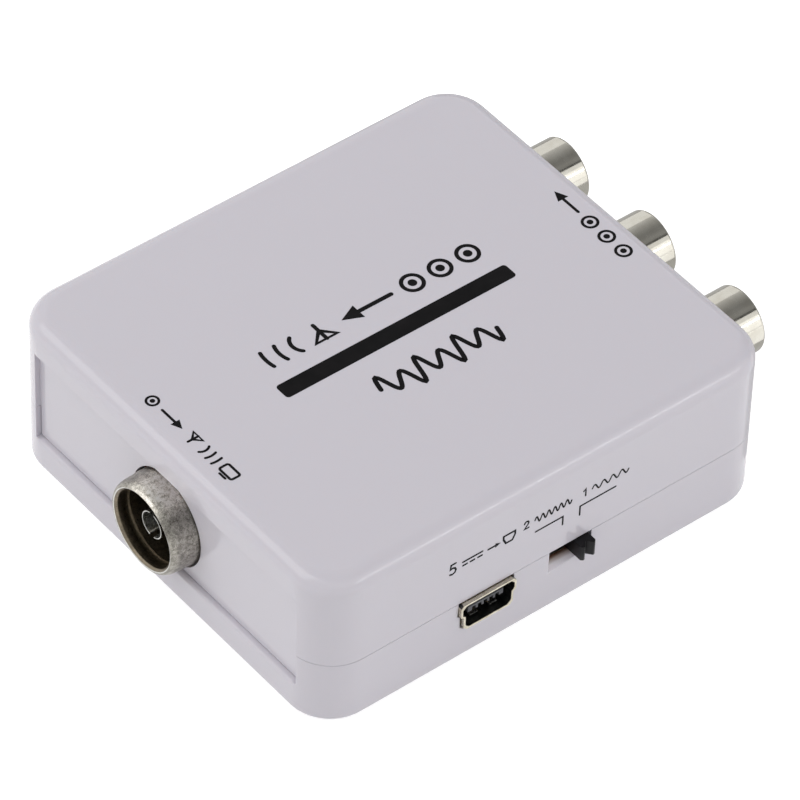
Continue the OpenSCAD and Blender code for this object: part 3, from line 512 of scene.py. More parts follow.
def softened(node, radius_mm, finish, reshape=None, rounder=None, rounder_mm=0.0):
    """A copy of a CAD node with rounded edges, which stands for the node.

    reshape moves its points first. The edges that pass the test rounder get the larger radius.
    """
    source = frame["nodes"][node]
    shape = bmesh.new()
    shape.from_mesh(source.data)
    bmesh.ops.remove_doubles(shape, verts=shape.verts, dist=SAME_POINT)
    bmesh.ops.dissolve_limit(shape, angle_limit=FLAT, verts=shape.verts, edges=shape.edges)
    if reshape:
        for point in shape.verts:
            point.co = reshape(point.co)
    if rounder:
        chosen = [e for e in shape.edges if rounder(e)]
        bmesh.ops.bevel(shape, geom=chosen, offset=rounder_mm * MM, segments=ROUNDER_STEPS, affect="EDGES",
                        profile=0.5, clamp_overlap=False, offset_type="OFFSET")
    sharp = [e for e in shape.edges if len(e.link_faces) == 2 and e.calc_face_angle(0) > SHARP]
    bmesh.ops.bevel(shape, geom=sharp, offset=radius_mm * MM, segments=EDGE_STEPS, affect="EDGES",
                    profile=0.5, clamp_overlap=True, offset_type="OFFSET")
    return stand_for(node, shape, finish)


print("edges are rounded in", EDGE_STEPS, "steps")

# %% [markdown]
# ## The two shells
#
# The top shell carries both end panels, and the bottom shell the ledge under them, the supply
# socket's opening and the switch's slot. Their edges are rounded by 0.12 mm, so that the fine
# seam between the two shells shows as a soft dark line. Round the switch's slot and along the
# ledges the moulding is rounder, which keeps them light. The opening fits closer round the supply
# socket than the CAD's clearance does, so its sides are drawn in a little, more so near the top,
# where the socket is wider. The slot's floor gets the plastic with painted light.

# %% Case shells
SUPPLY_X = middle("supply_socket_shell").x
SLOT_X = middle("switch_frame").x
CASE_EDGE, LEDGE_ROUND = 0.12, 0.6
LEDGE_Z = 4.4 * MM
NEAR = 0.02 * MM
BEHIND_SIDE_Y = -25 * MM
OPENING_HALF, OPENING_FOOT_Z, OPENING_WIDE_Z = 4.2 * MM, 4.5 * MM, 8.5 * MM
CLOSER_FOOT, CLOSER_TOP = 0.965, 0.93
SLOT_HALF, SLOT_FOOT_Z, SLOT_TOP_Z, SLOT_FAR_SIDE = 3.6 * MM, 6 * MM, 8.8 * MM, 2 * MM
FLOOR_BACK_Y, FLOOR_HALF, FLOOR_TOP_Z, LEVEL_ENOUGH = -26.3 * MM, 3.4 * MM, 9 * MM, 0.2


def closer_opening(place):
    """Draws the opening's sides in round the supply socket."""
    off = place.x - SUPPLY_X
    in_opening = abs(off) < OPENING_HALF and place.y < BEHIND_SIDE_Y and place.z > OPENING_FOOT_Z
    closer = CLOSER_TOP if place.z > OPENING_WIDE_Z else CLOSER_FOOT
    return Vector((SUPPLY_X + off * closer, place.y, place.z)) if in_opening else place


def slot_or_ledge(edge):
    """True for the outer edges of the slot's foot, of its -X side and of a ledge."""
    ends = [v.co for v in edge.verts]
    at = (ends[0] + ends[1]) / 2
    on_side = all(abs(v.y - case_low.y) < NEAR and abs(v.x - SLOT_X) < SLOT_HALF and v.z > SLOT_FOOT_Z
                  for v in ends)
    on_end = all(abs(abs(v.x) - case_high.x) < NEAR and abs(v.z - LEDGE_Z) < NEAR for v in ends)
    return on_end or (on_side and at.z < SLOT_TOP_Z and at.x < SLOT_X + SLOT_FAR_SIDE)


def slot_floor(face):
    """True for the slot's floor and its rounded edge."""
    at = face.center
    in_slot = at.y < FLOOR_BACK_Y and abs(at.x - SLOT_X) < FLOOR_HALF and SLOT_FOOT_Z < at.z < FLOOR_TOP_Z
    return in_slot and face.normal.z > LEVEL_ENOUGH


softened("top_shell", CASE_EDGE, white_abs)
bottom = softened("bottom_shell", CASE_EDGE, white_abs, reshape=closer_opening, rounder=slot_or_ledge,
                  rounder_mm=LEDGE_ROUND)
# The slot's floor gets its painted light: lighter than the case, and brown at its inner end.
finish_part(bottom, slot_abs_painted_light, slot_floor)
print("faces with the thin plastic:", sum(f.material_index for f in bottom.data.polygons))

# %% [markdown]
# ## Sockets, switch and the board's parts
#
# Every other piece is made the same way, so a table gives each one its edge radius, finish and
# slot. Stamped metal has edges of about 0.05 mm, and moulded parts about 0.1 mm.

# %% The remaining pieces
MADE = {
    "aerial_socket_shell": (0.1, zinc, "zinc_casting"),
    "aerial_socket_insulator": (0.05, black_housing, "black_plastic"),
    "supply_socket_shell": (0.1, shell_nickel, "nickel_plate"),
    "switch_frame": (0.06, nickel, "nickel_plate"),
    "switch_base": (0.05, phenolic, "phenolic_brown"),
    "switch_terminals": (0.03, gilt, "gilt_contact"),
    "switch_knob": (0.1, black_knob, "knob_black"),
    "switch_wiper": (0.02, gilt, "gilt_contact"),
    "circuit_board": (0.04, green_board, "board_green"),
    "shield_can": (0.04, tin, "tinned_metal"),
    "shield_lid": (0.08, tin, "tinned_metal"),
    "modulator_chip": (0.08, chip_resin, "chip_epoxy"),
    "chip_leads": (0.03, tin, "tinned_metal"),
    "crystal": (0.12, nickel, "nickel_plate"),
    "electrolytic_capacitors": (0.06, black_housing, "capacitor_can"),
    "voltage_regulator": (0.06, chip_resin, "chip_epoxy"),
    "power_choke": (0.08, ferrite, "ferrite"),
    "polarity_diode": (0.06, chip_resin, "chip_epoxy"),
    "ceramic_capacitors": (0.03, tan_ceramic, "ceramic_tan"),
    "resistors": (0.03, chip_resin, "resistor_black"),
}
INSERTS = {"video": (yellow_insert, "insert_yellow"), "left": (white_insert, "insert_white"),
           "right": (red_insert, "insert_red")}
for which, (insert, insert_slot) in INSERTS.items():
    MADE[which + "_socket_insert"] = (0.08, insert, insert_slot)
    MADE[which + "_socket_contact"] = (0.04, tin, "tinned_metal")
    MADE[which + "_socket_housing"] = (0.1, black_housing, "black_plastic")
for node, (radius_mm, finish, slot) in MADE.items():
    softened(node, radius_mm, finish)
print("pieces from the table:", len(MADE))

# %% [markdown]
# ## Phono barrels
#
# A lathe is the natural tool for a round socket: a closed profile in distance along the axis and
# radius, turned round the axis. The mirror-like side wall needs many segments, or its reflection
# would break into facets.

# %% A lathe, arcs and small boxes
TURNS = 128


def turned(profile, axis_y, axis_z):
    """A closed profile of (x, radius) points turned round a line along X."""
    shape = bmesh.new()
    rings = []
    for step in range(TURNS):
        angle = math.tau * step / TURNS
        rings.append([shape.verts.new((x, axis_y + r * math.cos(angle), axis_z + r * math.sin(angle)))
                      for x, r in profile])
    for here, there in zip(rings, rings[1:] + rings[:1]):
        for a in range(len(profile)):
            b = (a + 1) % len(profile)
            shape.faces.new((here[a], here[b], there[b], there[a]))
    bmesh.ops.recalc_face_normals(shape, faces=shape.faces)
    return shape


def arc(middle_a, middle_b, radius, start, stop, steps=8):
    """Points on an arc, with angles in degrees."""
    turns = [math.radians(start + (stop - start) * n / steps) for n in range(steps + 1)]
    return [(middle_a + radius * math.cos(t), middle_b + radius * math.sin(t)) for t in turns]


def add_box(shape, at, size):
    """Adds a small box, such as a leg, to a piece in the making."""
    place = Matrix.Translation(at) @ Matrix.Diagonal((*size, 1))
    bmesh.ops.create_cube(shape, size=1, matrix=place)


print("segments round an axis:", TURNS)

# %% [markdown]
# A barrel is drawn from sheet in steps, and its rim is rolled over, so it has a full round nose
# instead of a corner, and that nose glints. The wide collar sits in the case's end panel.

# %% Turned barrels
BARREL_R, INNER_R, COLLAR_R = 4.15 * MM, 3.7 * MM, 4.4 * MM
NOSE, COLLAR_ROUND, ROOT_ROUND, LIP_BACK = 0.4 * MM, 0.06 * MM, 0.05 * MM, 0.02 * MM
RECESS, COLLAR_STEP = 0.75 * MM, 0.2 * MM
LEG_X, LEG_LENGTH, LEG_WIDTH = 1.0 * MM, 0.5 * MM, 1.2 * MM
collar_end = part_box("top_shell")[1].x - RECESS + COLLAR_STEP
for which in INSERTS:
    low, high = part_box(which + "_socket_barrel")
    axis = middle(which + "_socket_insert")
    root_r = BARREL_R + ROOT_ROUND
    profile = [(low.x, INNER_R), (low.x, COLLAR_R),
               *arc(collar_end - COLLAR_ROUND, COLLAR_R - COLLAR_ROUND, COLLAR_ROUND, 90, 0, 3),
               (collar_end, root_r), *arc(collar_end + ROOT_ROUND, root_r, ROOT_ROUND, 180, 270, 3),
               *arc(high.x - NOSE, BARREL_R - NOSE, NOSE, 90, 0), (high.x - LIP_BACK, INNER_R)]
    barrel = turned(profile, axis.y, axis.z)
    leg_top = axis.z - INNER_R
    add_box(barrel, (low.x + LEG_X, axis.y, (low.z + leg_top) / 2), (LEG_LENGTH, LEG_WIDTH, leg_top - low.z))
    stand_for(which + "_socket_barrel", barrel, nickel)
print("barrels end at x, mm:", round(high.x / MM, 2))

# %% [markdown]
# ## The aerial socket's contact
#
# The centre contact is a thin tube, split down its front so that it springs open. Its mouth is
# coned to guide the plug's pin, so from the front only two thin bright arcs show, with darkness
# inside. The CAD tube has a plain bore, so the copy's points on the bore's edge move outwards.
# The casting round it gets its bore painted darker and browner, as painted shade, and a fine
# ring of bright tin on its rim as a painted glint.

# %% Coned mouth and the casting's inside
contact_axis = middle("aerial_socket_insulator")
contact_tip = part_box("aerial_socket_contact")[0].x
BORE_R, BORE_SLACK, TIP_SLACK = 1.2 * MM, 0.1 * MM, 0.01 * MM
MOUTH_R = 1.6 * MM
CASTING_DEPTH, CASTING_MOUTH_R = 9.6 * MM, 5.04 * MM
GLINT_RING_DEPTH, GLINT_RING_R = 0.06 * MM, 5.16 * MM


def coned_mouth(place):
    """Moves the points on the contact's front edge outwards."""
    across_axis = Vector((0, place.y - contact_axis.y, place.z - contact_axis.z))
    at_mouth = place.x < contact_tip + TIP_SLACK and across_axis.length < BORE_R + BORE_SLACK
    return place + across_axis * (MOUTH_R / BORE_R - 1) if at_mouth else place


def off_axis(face):
    """How far a face's middle lies from the aerial socket's axis."""
    return math.hypot(face.center.y - contact_axis.y, face.center.z - contact_axis.z)


def in_bore(face):
    """True for the casting's inner faces."""
    return face.center.x < RIM_X + CASTING_DEPTH and off_axis(face) < CASTING_MOUTH_R


def painted_glint_ring(face):
    """True for a fine ring round the casting's mouth, which gets bright tin as a painted glint."""
    return face.center.x < RIM_X + GLINT_RING_DEPTH and CASTING_MOUTH_R < off_axis(face) < GLINT_RING_R


casting = bpy.data.objects["aerial_socket_shell_made"]
# The bore's darker, browner zinc is painted shade; the rim's ring of bright tin is a painted glint.
finish_part(casting, bore_zinc_painted_shade, in_bore)
finish_part(casting, tin, painted_glint_ring)
softened("aerial_socket_contact", 0.05, tin, reshape=coned_mouth)
print("contact's mouth, mm:", MOUTH_R / MM)

# %% [markdown]
# ## Inside the supply socket
#
# Looking into the mouth, the eye meets the front of a charcoal tongue with five dark windows. The
# gilt contacts lie deep in them. The windows are grooves of the CAD block, made higher in the
# copy. The shell's inside is painted a much darker tin than its outside, as painted shade.

# %% Tongue, contacts and the shell's inside
shell_low, shell_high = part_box("supply_socket_shell")
mouth_y = shell_low.y
TONGUE_RISE = 1.8 * MM
tongue_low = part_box("circuit_board")[1].z + TONGUE_RISE
GROOVE_RISE = 0.25 * MM
CONTACT_BACK, CONTACT_FRONT = 1.1 * MM, 1.0 * MM
INSIDE_HALF, INSIDE_FRONT, INSIDE_FOOT, INSIDE_TOP = 3.65 * MM, 0.15 * MM, 1.55 * MM, 0.2 * MM


def high_windows(place):
    """Raises the grooves' ceilings."""
    in_groove = abs(place.z - (tongue_low + GROOVE_RISE)) < NEAR
    return place + Vector((0, 0, GROOVE_RISE)) if in_groove else place


def drawn_back(place):
    """Draws the contacts' front ends back into the tongue."""
    at_front = place.y < mouth_y + CONTACT_FRONT
    return place + Vector((0, CONTACT_BACK, 0)) if at_front else place


def in_supply_shell(face):
    """True for the shell's inner faces, behind its mouth."""
    at = face.center
    in_width = abs(at.x - SUPPLY_X) < INSIDE_HALF
    in_height = tongue_low - INSIDE_FOOT < at.z < shell_high.z - INSIDE_TOP
    return at.y > mouth_y + INSIDE_FRONT and in_width and in_height


softened("supply_socket_block", 0.03, charcoal_block, reshape=high_windows)
softened("supply_socket_contacts", 0.03, gilt, reshape=drawn_back)
# The shell's inner faces get the darker tin, as painted shade.
finish_part(bpy.data.objects["supply_socket_shell_made"], shade_painted_tin, in_supply_shell)
print("supply socket's mouth at y, mm:", round(mouth_y / MM, 2))

# %% [markdown]
# Two spring tabs, bent up out of the shell's floor, catch the light under the tongue.

# %% Spring tabs
TAB_STEPS, TAB_BACK, TAB_RISE, TAB_SHEET = 8, 0.9 * MM, 0.42 * MM, 0.12 * MM
TAB_BEND = math.pi * 0.62
TAB_APART, TAB_LENGTH, TAB_WIDTH, SHELL_FLOOR = 1.35 * MM, 2.6 * MM, 1.1 * MM, 1.5 * MM


def spring_tab(name, x, length, width):
    """A strip that rises from the shell's floor towards the mouth."""
    floor_z = tongue_low - SHELL_FLOOR
    shape = bmesh.new()
    rows = []
    for n in range(TAB_STEPS + 1):
        share = n / TAB_STEPS
        y = mouth_y + TAB_BACK + length * (1 - share)
        z = floor_z + TAB_RISE * math.sin(share * TAB_BEND)
        rows.append([shape.verts.new((x + side * width / 2, y, z + rise))
                     for rise in (0, TAB_SHEET) for side in (-1, 1)])
    for a, b in zip(rows, rows[1:]):
        for i, j in ((0, 1), (1, 3), (3, 2), (2, 0)):
            shape.faces.new((a[i], a[j], b[j], b[i]))
    for row in (rows[0], rows[-1]):
        shape.faces.new([row[i] for i in (0, 1, 3, 2)])
    bmesh.ops.recalc_face_normals(shape, faces=shape.faces)
    return finished_piece(name, shape, tin, "housing")


for name, side in (("supply_spring_left", -1), ("supply_spring_right", 1)):
    tab = spring_tab(name, SUPPLY_X + side * TAB_APART, TAB_LENGTH, TAB_WIDTH)
print("faces of a spring tab:", len(tab.data.polygons))

# %% [markdown]
# ## Printed marks
#
# The marks are pad-printed in black ink, a film so thin that only its edge shows. They are made
# as flat ribbons 0.012 mm high that lie on the plastic, because an image would blur. All are plain
# pictograms and numbers: socket faces, arrows, an aerial, waves, a direct-current sign and the
# switch's 1 and 2.

# %% Ink, ribbons and filled outlines
ink = satin_plastic("pad_printed_ink", "#0c0b0d", "#131113", 0.5, 0.66, grain_mm=0.15, shine=0.12)
INK_HEIGHT = 0.012
INK_FOOT = -0.01


def band(shape, lay, left, right, height, closed):
    """A ribbon between two rows of points, with its side walls."""
    rows = [[shape.verts.new(lay(*p, level))
             for p, level in ((a, INK_FOOT), (a, height), (b, height), (b, INK_FOOT))]
            for a, b in zip(left, right)]
    for a, b in zip(rows, rows[1:] + rows[:1] if closed else rows[1:]):
        for i in range(3):
            shape.faces.new((a[i], a[i + 1], b[i + 1], b[i]))


def plate(shape, lay, outline, height):
    """A filled outline with its side walls."""
    top = [shape.verts.new(lay(*p, height)) for p in outline]
    foot = [shape.verts.new(lay(*p, INK_FOOT)) for p in outline]
    shape.faces.new(top)
    for n in range(len(outline)):
        m = (n + 1) % len(outline)
        shape.faces.new((top[n], foot[n], foot[m], top[m]))


print("ink film, mm:", INK_HEIGHT)

# %% [markdown]
# A stroke is a ribbon along a row of points. It is mitred at each corner, so that its width stays
# even round the bend, and its ends are round.

# %% Strokes
MITRE_LEAST, MITRE_MOST = 0.4, 1.6


def stroke(shape, lay, points, width, height, closed=False):
    """A line of even width through the points, with round ends."""
    count = len(points)
    left, right = [], []
    for n, (u, v) in enumerate(points):
        before = points[n - 1] if closed or n else (u, v)
        after = points[(n + 1) % count] if closed or n < count - 1 else (u, v)
        way_in = Vector((u - before[0], v - before[1]))
        way_out = Vector((after[0] - u, after[1] - v))
        way_in, way_out = (w.normalized() if w.length else w for w in (way_in, way_out))
        along = (way_in + way_out).normalized()
        lean = max(along.dot(way_out if way_out.length else way_in), MITRE_LEAST)
        mitre = min(1 / lean, MITRE_MOST) * width / 2
        left.append((u - along.y * mitre, v + along.x * mitre))
        right.append((u + along.y * mitre, v - along.x * mitre))
    band(shape, lay, left, right, height, closed)
    if not closed:
        for n, other in ((0, 1), (count - 1, count - 2)):
            (u, v), (p, q) = points[n], points[other]
            facing = math.degrees(math.atan2(v - q, u - p))
            plate(shape, lay, arc(u, v, width / 2, facing - 90, facing + 90, 6), height)


print("longest mitre:", MITRE_MOST)

# %% [markdown]
# One print is a list of marks on a flat face. Each mark is a hair higher than the last, so no two
# faces share a plane where strokes cross.

# %% One print
INK_STEP = 0.0008


def printed(name, origin, along, upward, marks):
    """One print: marks in millimetres, laid on a flat face from an origin along two directions."""
    origin, along, upward = (Vector(v) for v in (origin, along, upward))
    out = along.cross(upward)
    shape = bmesh.new()
    for n, (kind, points, width) in enumerate(marks):
        height = INK_HEIGHT + INK_STEP * n

        def lay(u, v, level):
            return (origin + along * u + upward * v + out * level) * MM

        if kind == "fill":
            plate(shape, lay, points, height)
        else:
            stroke(shape, lay, points, width, height, kind == "loop")
    bmesh.ops.recalc_face_normals(shape, faces=shape.faces)
    return finished_piece(name, shape, ink, "housing")


print("each mark is higher by, mm:", INK_STEP)

# %% [markdown]
# A small alphabet of marks: each function gives the strokes of one pictogram in millimetres.

# %% Pictograms
def socket_face(u, v, radius, width):
    """A ring with a dot in it: a socket seen from the front."""
    return [("loop", arc(u, v, radius - width / 2, 0, 360 * 31 / 32, 31), width),
            ("fill", arc(u, v, radius * 0.36, 0, 360 * 15 / 16, 15), 0)]


def arrow(u, v, length, head, width):
    """An arrow to the right, with a filled head."""
    tip, back, half = u + length, u + length - head * 1.2, head * 0.55
    return [("line", [(u, v), (tip - head, v)], width),
            ("fill", [(back, v - half), (tip, v), (back, v + half)], 0)]


def aerial(u, height, half, width):
    """A mast with a triangle on top, as circuit drawings show an aerial."""
    inset = width / 2
    return [("line", [(u, inset), (u, height - inset)], width),
            ("loop", [(u, height * 0.42), (u + half, height - inset), (u - half, height - inset)], width)]


def waves(u, middle_v, height, radii, width):
    """Arcs that spread to the right, cut off at the row's height."""
    marks = []
    for radius in radii:
        half = math.degrees(math.asin(min(0.94, (height - width) / 2 / radius)))
        marks.append(("line", arc(u, middle_v, radius, -half, half, 10), width))
    return marks


def swing(u, v, length, rise, count, width, swell=0.0):
    """A wave train of count swings, whose height may swell and shrink."""
    steps = count * 16
    points = []
    for n in range(steps + 1):
        share = n / steps
        size = 1 - swell * math.sin(share * math.tau * 1.5) ** 2
        points.append((u + length * share, v + rise * size * math.sin(share * count * math.tau)))
    return [("line", points, width)]


print("strokes of an arrow:", len(arrow(0, 0, 3, 1, 0.3)))

# %% [markdown]
# Numbers are single lines through a few points, given for a height of 1. Boxes have round corners,
# as spreading ink gives them.

# %% Numbers and rounded boxes
DIGITS = {
    "1": [(0.08, 0.76), (0.34, 0.97), (0.34, 0.03)],
    "2": [(0.03, 0.74), (0.09, 0.9), (0.27, 0.98), (0.45, 0.92), (0.53, 0.74), (0.46, 0.54), (0.04, 0.04),
          (0.56, 0.04)],
    "5": [(0.52, 0.97), (0.12, 0.97), (0.07, 0.56), (0.27, 0.62), (0.46, 0.54), (0.55, 0.33), (0.46, 0.11),
          (0.25, 0.03), (0.04, 0.1)],
}


def digit(which, u, v, height, width):
    """One number, drawn as a single line."""
    return [("line", [(u + a * height, v + b * height) for a, b in DIGITS[which]], width)]


def rounded_box(low_u, low_v, high_u, high_v, radius):
    """The outline of a box with round corners."""
    corners = ((high_u, high_v, 0), (low_u, high_v, 90), (low_u, low_v, 180), (high_u, low_v, 270))
    points = []
    for u, v, start in corners:
        inner_u = u - math.copysign(radius, u - (low_u + high_u) / 2)
        inner_v = v - math.copysign(radius, v - (low_v + high_v) / 2)
        points += arc(inner_u, inner_v, radius, start, start + 90, 6)
    return points


print("digits:", sorted(DIGITS))

# %% [markdown]
# On the top, a broad bar parts two rows: three phono faces, an arrow and an aerial sending waves,
# and a swelling wave train. Both ends carry a smaller row that says what each socket is for.

# %% Prints on the top
TOP_Z = case_high.z / MM
READ_FROM_BACK = ((-1, 0, 0), (0, -1, 0))
BOLD, MIDDLING = 0.48, 0.3
top_row = [mark for u in (1.5, 5.4, 9.3) for mark in socket_face(u, 1.5, 1.5, BOLD)]
top_row += arrow(12.3, 1.5, 6.9, 2.0, 0.56) + aerial(22.2, 3.0, 1.45, BOLD)
top_row += waves(24.3, 1.5, 3.0, (1.7, 3.5, 5.3), BOLD)
bar = [("fill", rounded_box(0, 0, 31.95, 2.25, 0.45), 0)]
wave_train = swing(0.25, 2.32, 16.1, 2.02, 6, 0.56, swell=0.55)
printed("print_top_row", (15.2, 5.4, TOP_Z), *READ_FROM_BACK, top_row)
printed("print_top_bar", (15.85, 0.12, TOP_Z), *READ_FROM_BACK, bar)
printed("print_top_wave", (9.1, -4.85, TOP_Z), *READ_FROM_BACK, wave_train)
aerial_row = socket_face(0.85, 0.85, 0.85, MIDDLING) + arrow(2.6, 0.85, 3.6, 1.1, 0.32)
aerial_row += aerial(8.1, 1.7, 0.85, MIDDLING) + waves(9.3, 0.85, 1.7, (1.0, 2.0, 3.0), MIDDLING)
aerial_row += [("loop", rounded_box(13.3, 0.35, 15.45, 1.6, 0.25), MIDDLING)]
aerial_row += [("line", [(13.9, -0.02), (14.9, -0.02)], 0.28)]
printed("print_aerial_row", (-28.8, 7.2, TOP_Z), (0, -1, 0), (1, 0, 0), aerial_row)
phono_row = [mark for u in (1.05, 3.95, 6.85) for mark in socket_face(u, 1.05, 1.05, 0.34)]
phono_row += arrow(8.9, 1.05, 4.2, 1.3, 0.36)
printed("print_phono_row", (28.8, -7.2, TOP_Z), (0, 1, 0), (-1, 0, 0), phono_row)
print("strokes on the top:", len(top_row + bar + wave_train + aerial_row + phono_row))

# %% [markdown]
# On the side, an arrow leads from a 5 and a direct-current sign to the outline of the supply
# socket's mouth. Over the switch, brackets lead from the two ends of its travel to a 2 and a 1,
# each with a wave train, and the 2 has the quicker one.

# %% Prints on the side
SIDE_Y = case_low.y / MM
ON_SIDE = ((1, 0, 0), (0, 0, 1))
FINE, FINER, FINEST = 0.25, 0.23, 0.21
supply_row = digit("5", 0.1, 0, 1.6, FINE)
supply_row += [("line", [(1.9, 1.05), (4.6, 1.05)], FINE)]
supply_row += [("line", [(u, 0.5), (u + 0.55, 0.5)], FINE) for u in (1.95, 2.97, 4.0)]
supply_row += arrow(5.4, 0.8, 1.7, 0.6, FINE)
supply_row += [("loop", [(7.5, 0.95), (7.85, 0.25), (8.75, 0.25), (9.1, 0.95), (9.1, 1.45), (7.5, 1.45)], FINE)]
two = digit("2", 0, 0, 1.15, FINER) + swing(1.5, 0.55, 5.1, 0.42, 6, FINEST)
one = digit("1", 0, 0, 1.1, FINER) + swing(1.3, 0.52, 5.1, 0.4, 4, FINEST)
brackets = [("line", [(-2.34, 13.6), (1.48, 13.6), (1.48, 12.35)], FINER),
            ("line", [(8.88, 13.7), (3.87, 13.7), (3.87, 12.35)], FINER)]
printed("print_supply_row", (-14.35, SIDE_Y, 14.2), *ON_SIDE, supply_row)
printed("print_switch_two", (-4.0, SIDE_Y, 14.9), *ON_SIDE, two)
printed("print_switch_one", (4.2, SIDE_Y, 14.9), *ON_SIDE, one)
printed("print_brackets", (0, SIDE_Y, 0), *ON_SIDE, brackets)
print("strokes on the side:", len(supply_row + two + one + brackets))

# %% [markdown]
# ## The floor, the backdrop and the light
#
# The photograph shows the box on pure white, lit so softly from all round that its three faces
# are almost one tone. A white floor catches a faint shadow. What the camera sees of floor and
# world is raised to white through Light Path, and so is what shiny metal mirrors and clear parts
# let through, while the light that falls on the object stays at a plain level.

# %% Floor
FLOOR_SIZE = 4.0
SEEN_WHITE = 0.62


def seen_by_eye_or_mirror(tree):
    """1 for a ray from the camera, from a mirror or through glass, and 0 for a lighting ray."""
    ray = add(tree, "LightPath")
    shiny = add(tree, "Math", {0: ray.outputs["Is Camera Ray"], 1: ray.outputs["Is Glossy Ray"]},
                operation="MAXIMUM")
    return add(tree, "Math", {0: shiny.outputs["Value"], 1: ray.outputs["Is Transmission Ray"]},
               operation="MAXIMUM")


def white_floor():
    """Matt white paper that the camera and shiny metal see as pure white."""
    material = bpy.data.materials.new("white_paper_floor")
    material.use_nodes = True
    tree = material.node_tree
    tree.nodes.clear()
    paper = add(tree, "BsdfDiffuse", {"Color": linear("#e6e6e6")})
    seen = seen_by_eye_or_mirror(tree)
    glow = add(tree, "Math", {0: seen.outputs["Value"], 1: SEEN_WHITE}, operation="MULTIPLY")
    lift = add(tree, "Emission", {"Strength": glow.outputs["Value"]})
    both = add(tree, "AddShader", {0: paper.outputs["BSDF"], 1: lift.outputs["Emission"]})
    add(tree, "OutputMaterial", {"Surface": both.outputs["Shader"]})
    return material


floor_mesh = bpy.data.meshes.new("floor")
half = FLOOR_SIZE / 2
floor_mesh.from_pydata([(-half, -half, 0), (half, -half, 0), (half, half, 0), (-half, half, 0)], [], [(0, 1, 2, 3)])
floor_mesh.materials.append(white_floor())
floor = placed("floor", floor_mesh)
print("floor, m:", FLOOR_SIZE)

# %% [markdown]
# The world is an even white. It lights the box at two thirds of the level that the camera sees.

# %% World
world = bpy.data.worlds.new("studio")
bpy.context.scene.world = world
world.use_nodes = True
sky = world.node_tree
sky.nodes.clear()
WORLD_LIGHT = 0.65
seen = seen_by_eye_or_mirror(sky)
level = add(sky, "MapRange", {"Value": seen.outputs["Value"], "To Min": WORLD_LIGHT, "To Max": 1.0})
even_light = add(sky, "Background", {"Color": linear("#ffffff"), "Strength": level.outputs["Result"]})
add(sky, "OutputWorld", {"Surface": even_light.outputs["Background"]})
print("world light:", WORLD_LIGHT)

# %% [markdown]
# Polished metal is drawn by what it mirrors, so cards stand round the box that only mirror-like
# rays can see. They shape the reflections and leave the plain light on the object alone. A card
# may be brighter than 1, which a colour ramp can't hold, so its levels are divided by a scale
# that the emission gives back.

# %% Making a card
CARD_SCALE = 8.0


def card(name, corners_mm, stops, axis):
    """A flat card, seen by glossy rays alone, with a grey level that changes along one axis."""
    mesh = bpy.data.meshes.new(name)
    mesh.from_pydata([tuple(c * MM for c in corner) for corner in corners_mm], [], [(0, 1, 2, 3)])
    material = bpy.data.materials.new(name + "_paper")
    material.use_nodes = True
    tree = material.node_tree
    tree.nodes.clear()
    first, last = stops[0][0] * MM, stops[-1][0] * MM
    ramp = ramp_along(tree, axis, first, last)
    ramp.color_ramp.elements.remove(ramp.color_ramp.elements[1])
    for n, (at_mm, level) in enumerate(stops):
        place_on = (at_mm * MM - first) / (last - first)
        stop = ramp.color_ramp.elements[0] if n == 0 else ramp.color_ramp.elements.new(place_on)
        stop.position = place_on
        stop.color = (*[level / CARD_SCALE] * 3, 1)
    glow = add(tree, "Emission", {"Color": ramp.outputs["Color"], "Strength": CARD_SCALE})
    add(tree, "OutputMaterial", {"Surface": glow.outputs["Emission"]})
    mesh.materials.append(material)
    sheet = placed(name, mesh)
    for kind in ("camera", "diffuse", "transmission", "shadow", "volume_scatter"):
        setattr(sheet, "visible_" + kind, False)


print("a card may be as bright as", CARD_SCALE)

# %% [markdown]
# In the photograph each barrel shows a white band, a sharp dark band and a pale grey one. So over
# the table hangs a dark ceiling, in front stands a white wall, and a grey wall stands far behind.
# A narrow strip draws the bright line along the top's near edge, and a grey sheet on the table
# shades what the barrels mirror from below.

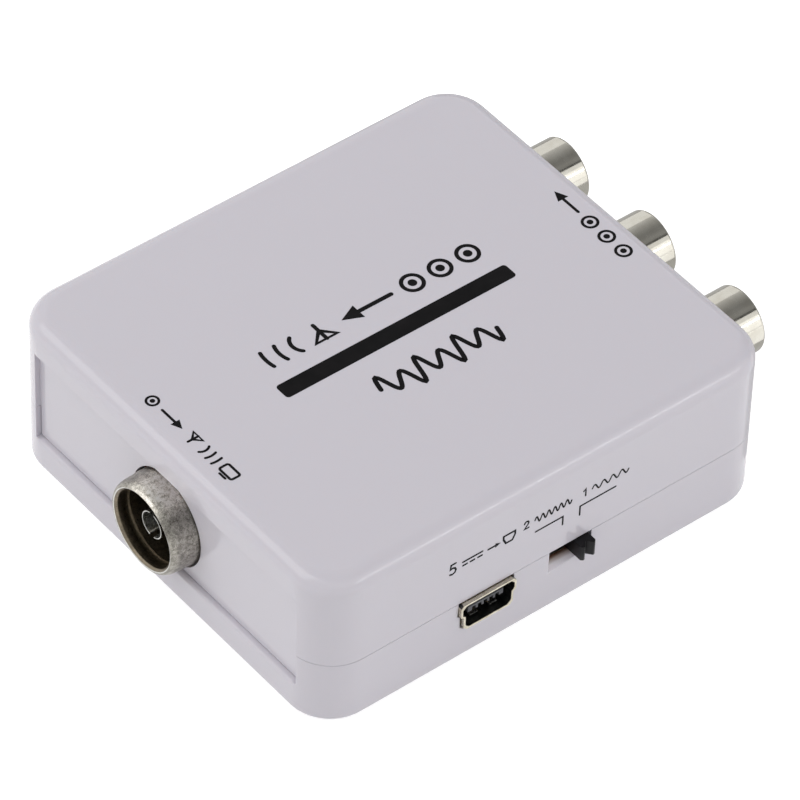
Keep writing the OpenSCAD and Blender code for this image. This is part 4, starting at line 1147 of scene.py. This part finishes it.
# %% Five cards
def standing(from_xy, to_xy, low, high):
    """The corners of an upright card between two places on the floor."""
    return [(*from_xy, low), (*to_xy, low), (*to_xy, high), (*from_xy, high)]


def lying(low_xy, high_xy, z):
    """The corners of a level card."""
    (x1, y1), (x2, y2) = low_xy, high_xy
    return [(x1, y1, z), (x2, y1, z), (x2, y2, z), (x1, y2, z)]


ceiling_stops = [(-400, 0.1), (-335, 0.1), (-290, 0.28), (-200, 0.3), (-110, 0.25), (-20, 0.24), (68, 0.29),
                 (160, 0.37), (262, 0.46), (387, 0.58), (462, 0.62)]
card("dark_ceiling", lying((-300, -400), (1100, 462), 500), ceiling_stops, "Y")
card("front_wall", standing((230, -560), (460, -560), 5, 440), [(5, 1.1), (60, 1.5), (440, 1.5)], "Z")
card("edge_strip", standing((98, -582), (450, -382), 218, 244), [(218, 7.5), (244, 7.5)], "Z")
card("far_wall", standing((900, 1300), (900, -300), 5, 520), [(5, 0.25), (520, 0.25)], "Z")
card("table_card", lying((33, -28), (400, 500), 1), [(-28, 0.55), (500, 0.4)], "Y")
print("ceiling card's stops:", len(ceiling_stops))

# %% [markdown]
# Two softboxes shape the box itself. A narrow one lights the supply socket's side, and a broad one
# above the aerial socket's end lights that end and the top. The narrow one isn't mirrored: seen
# from behind it would burn out the top, so a fainter strip card draws the line on the edge.

# %% Softboxes
def softbox(name, place_mm, target_mm, size_mm, watts, mirrored=True):
    """A rectangular lamp that faces a target."""
    light = bpy.data.lights.new(name, "AREA")
    light.shape = "RECTANGLE"
    light.size, light.size_y = (v * MM for v in size_mm)
    light.energy = watts
    lamp = placed(name, light)
    lamp.location = Vector(place_mm) * MM
    aim = Vector(target_mm) * MM - lamp.location
    lamp.rotation_mode = "QUATERNION"
    lamp.rotation_quaternion = aim.to_track_quat("-Z", "Y")
    lamp.visible_glossy = mirrored


BOX_MIDDLE = (0, 0, 10)
softbox("side_softbox", (274, -482, 232), BOX_MIDDLE, (420, 60), 0.6, mirrored=False)
softbox("end_softbox", (-400, 250, 470), BOX_MIDDLE, (600, 600), 1.28)
bpy.context.scene.view_settings.view_transform = "Standard"
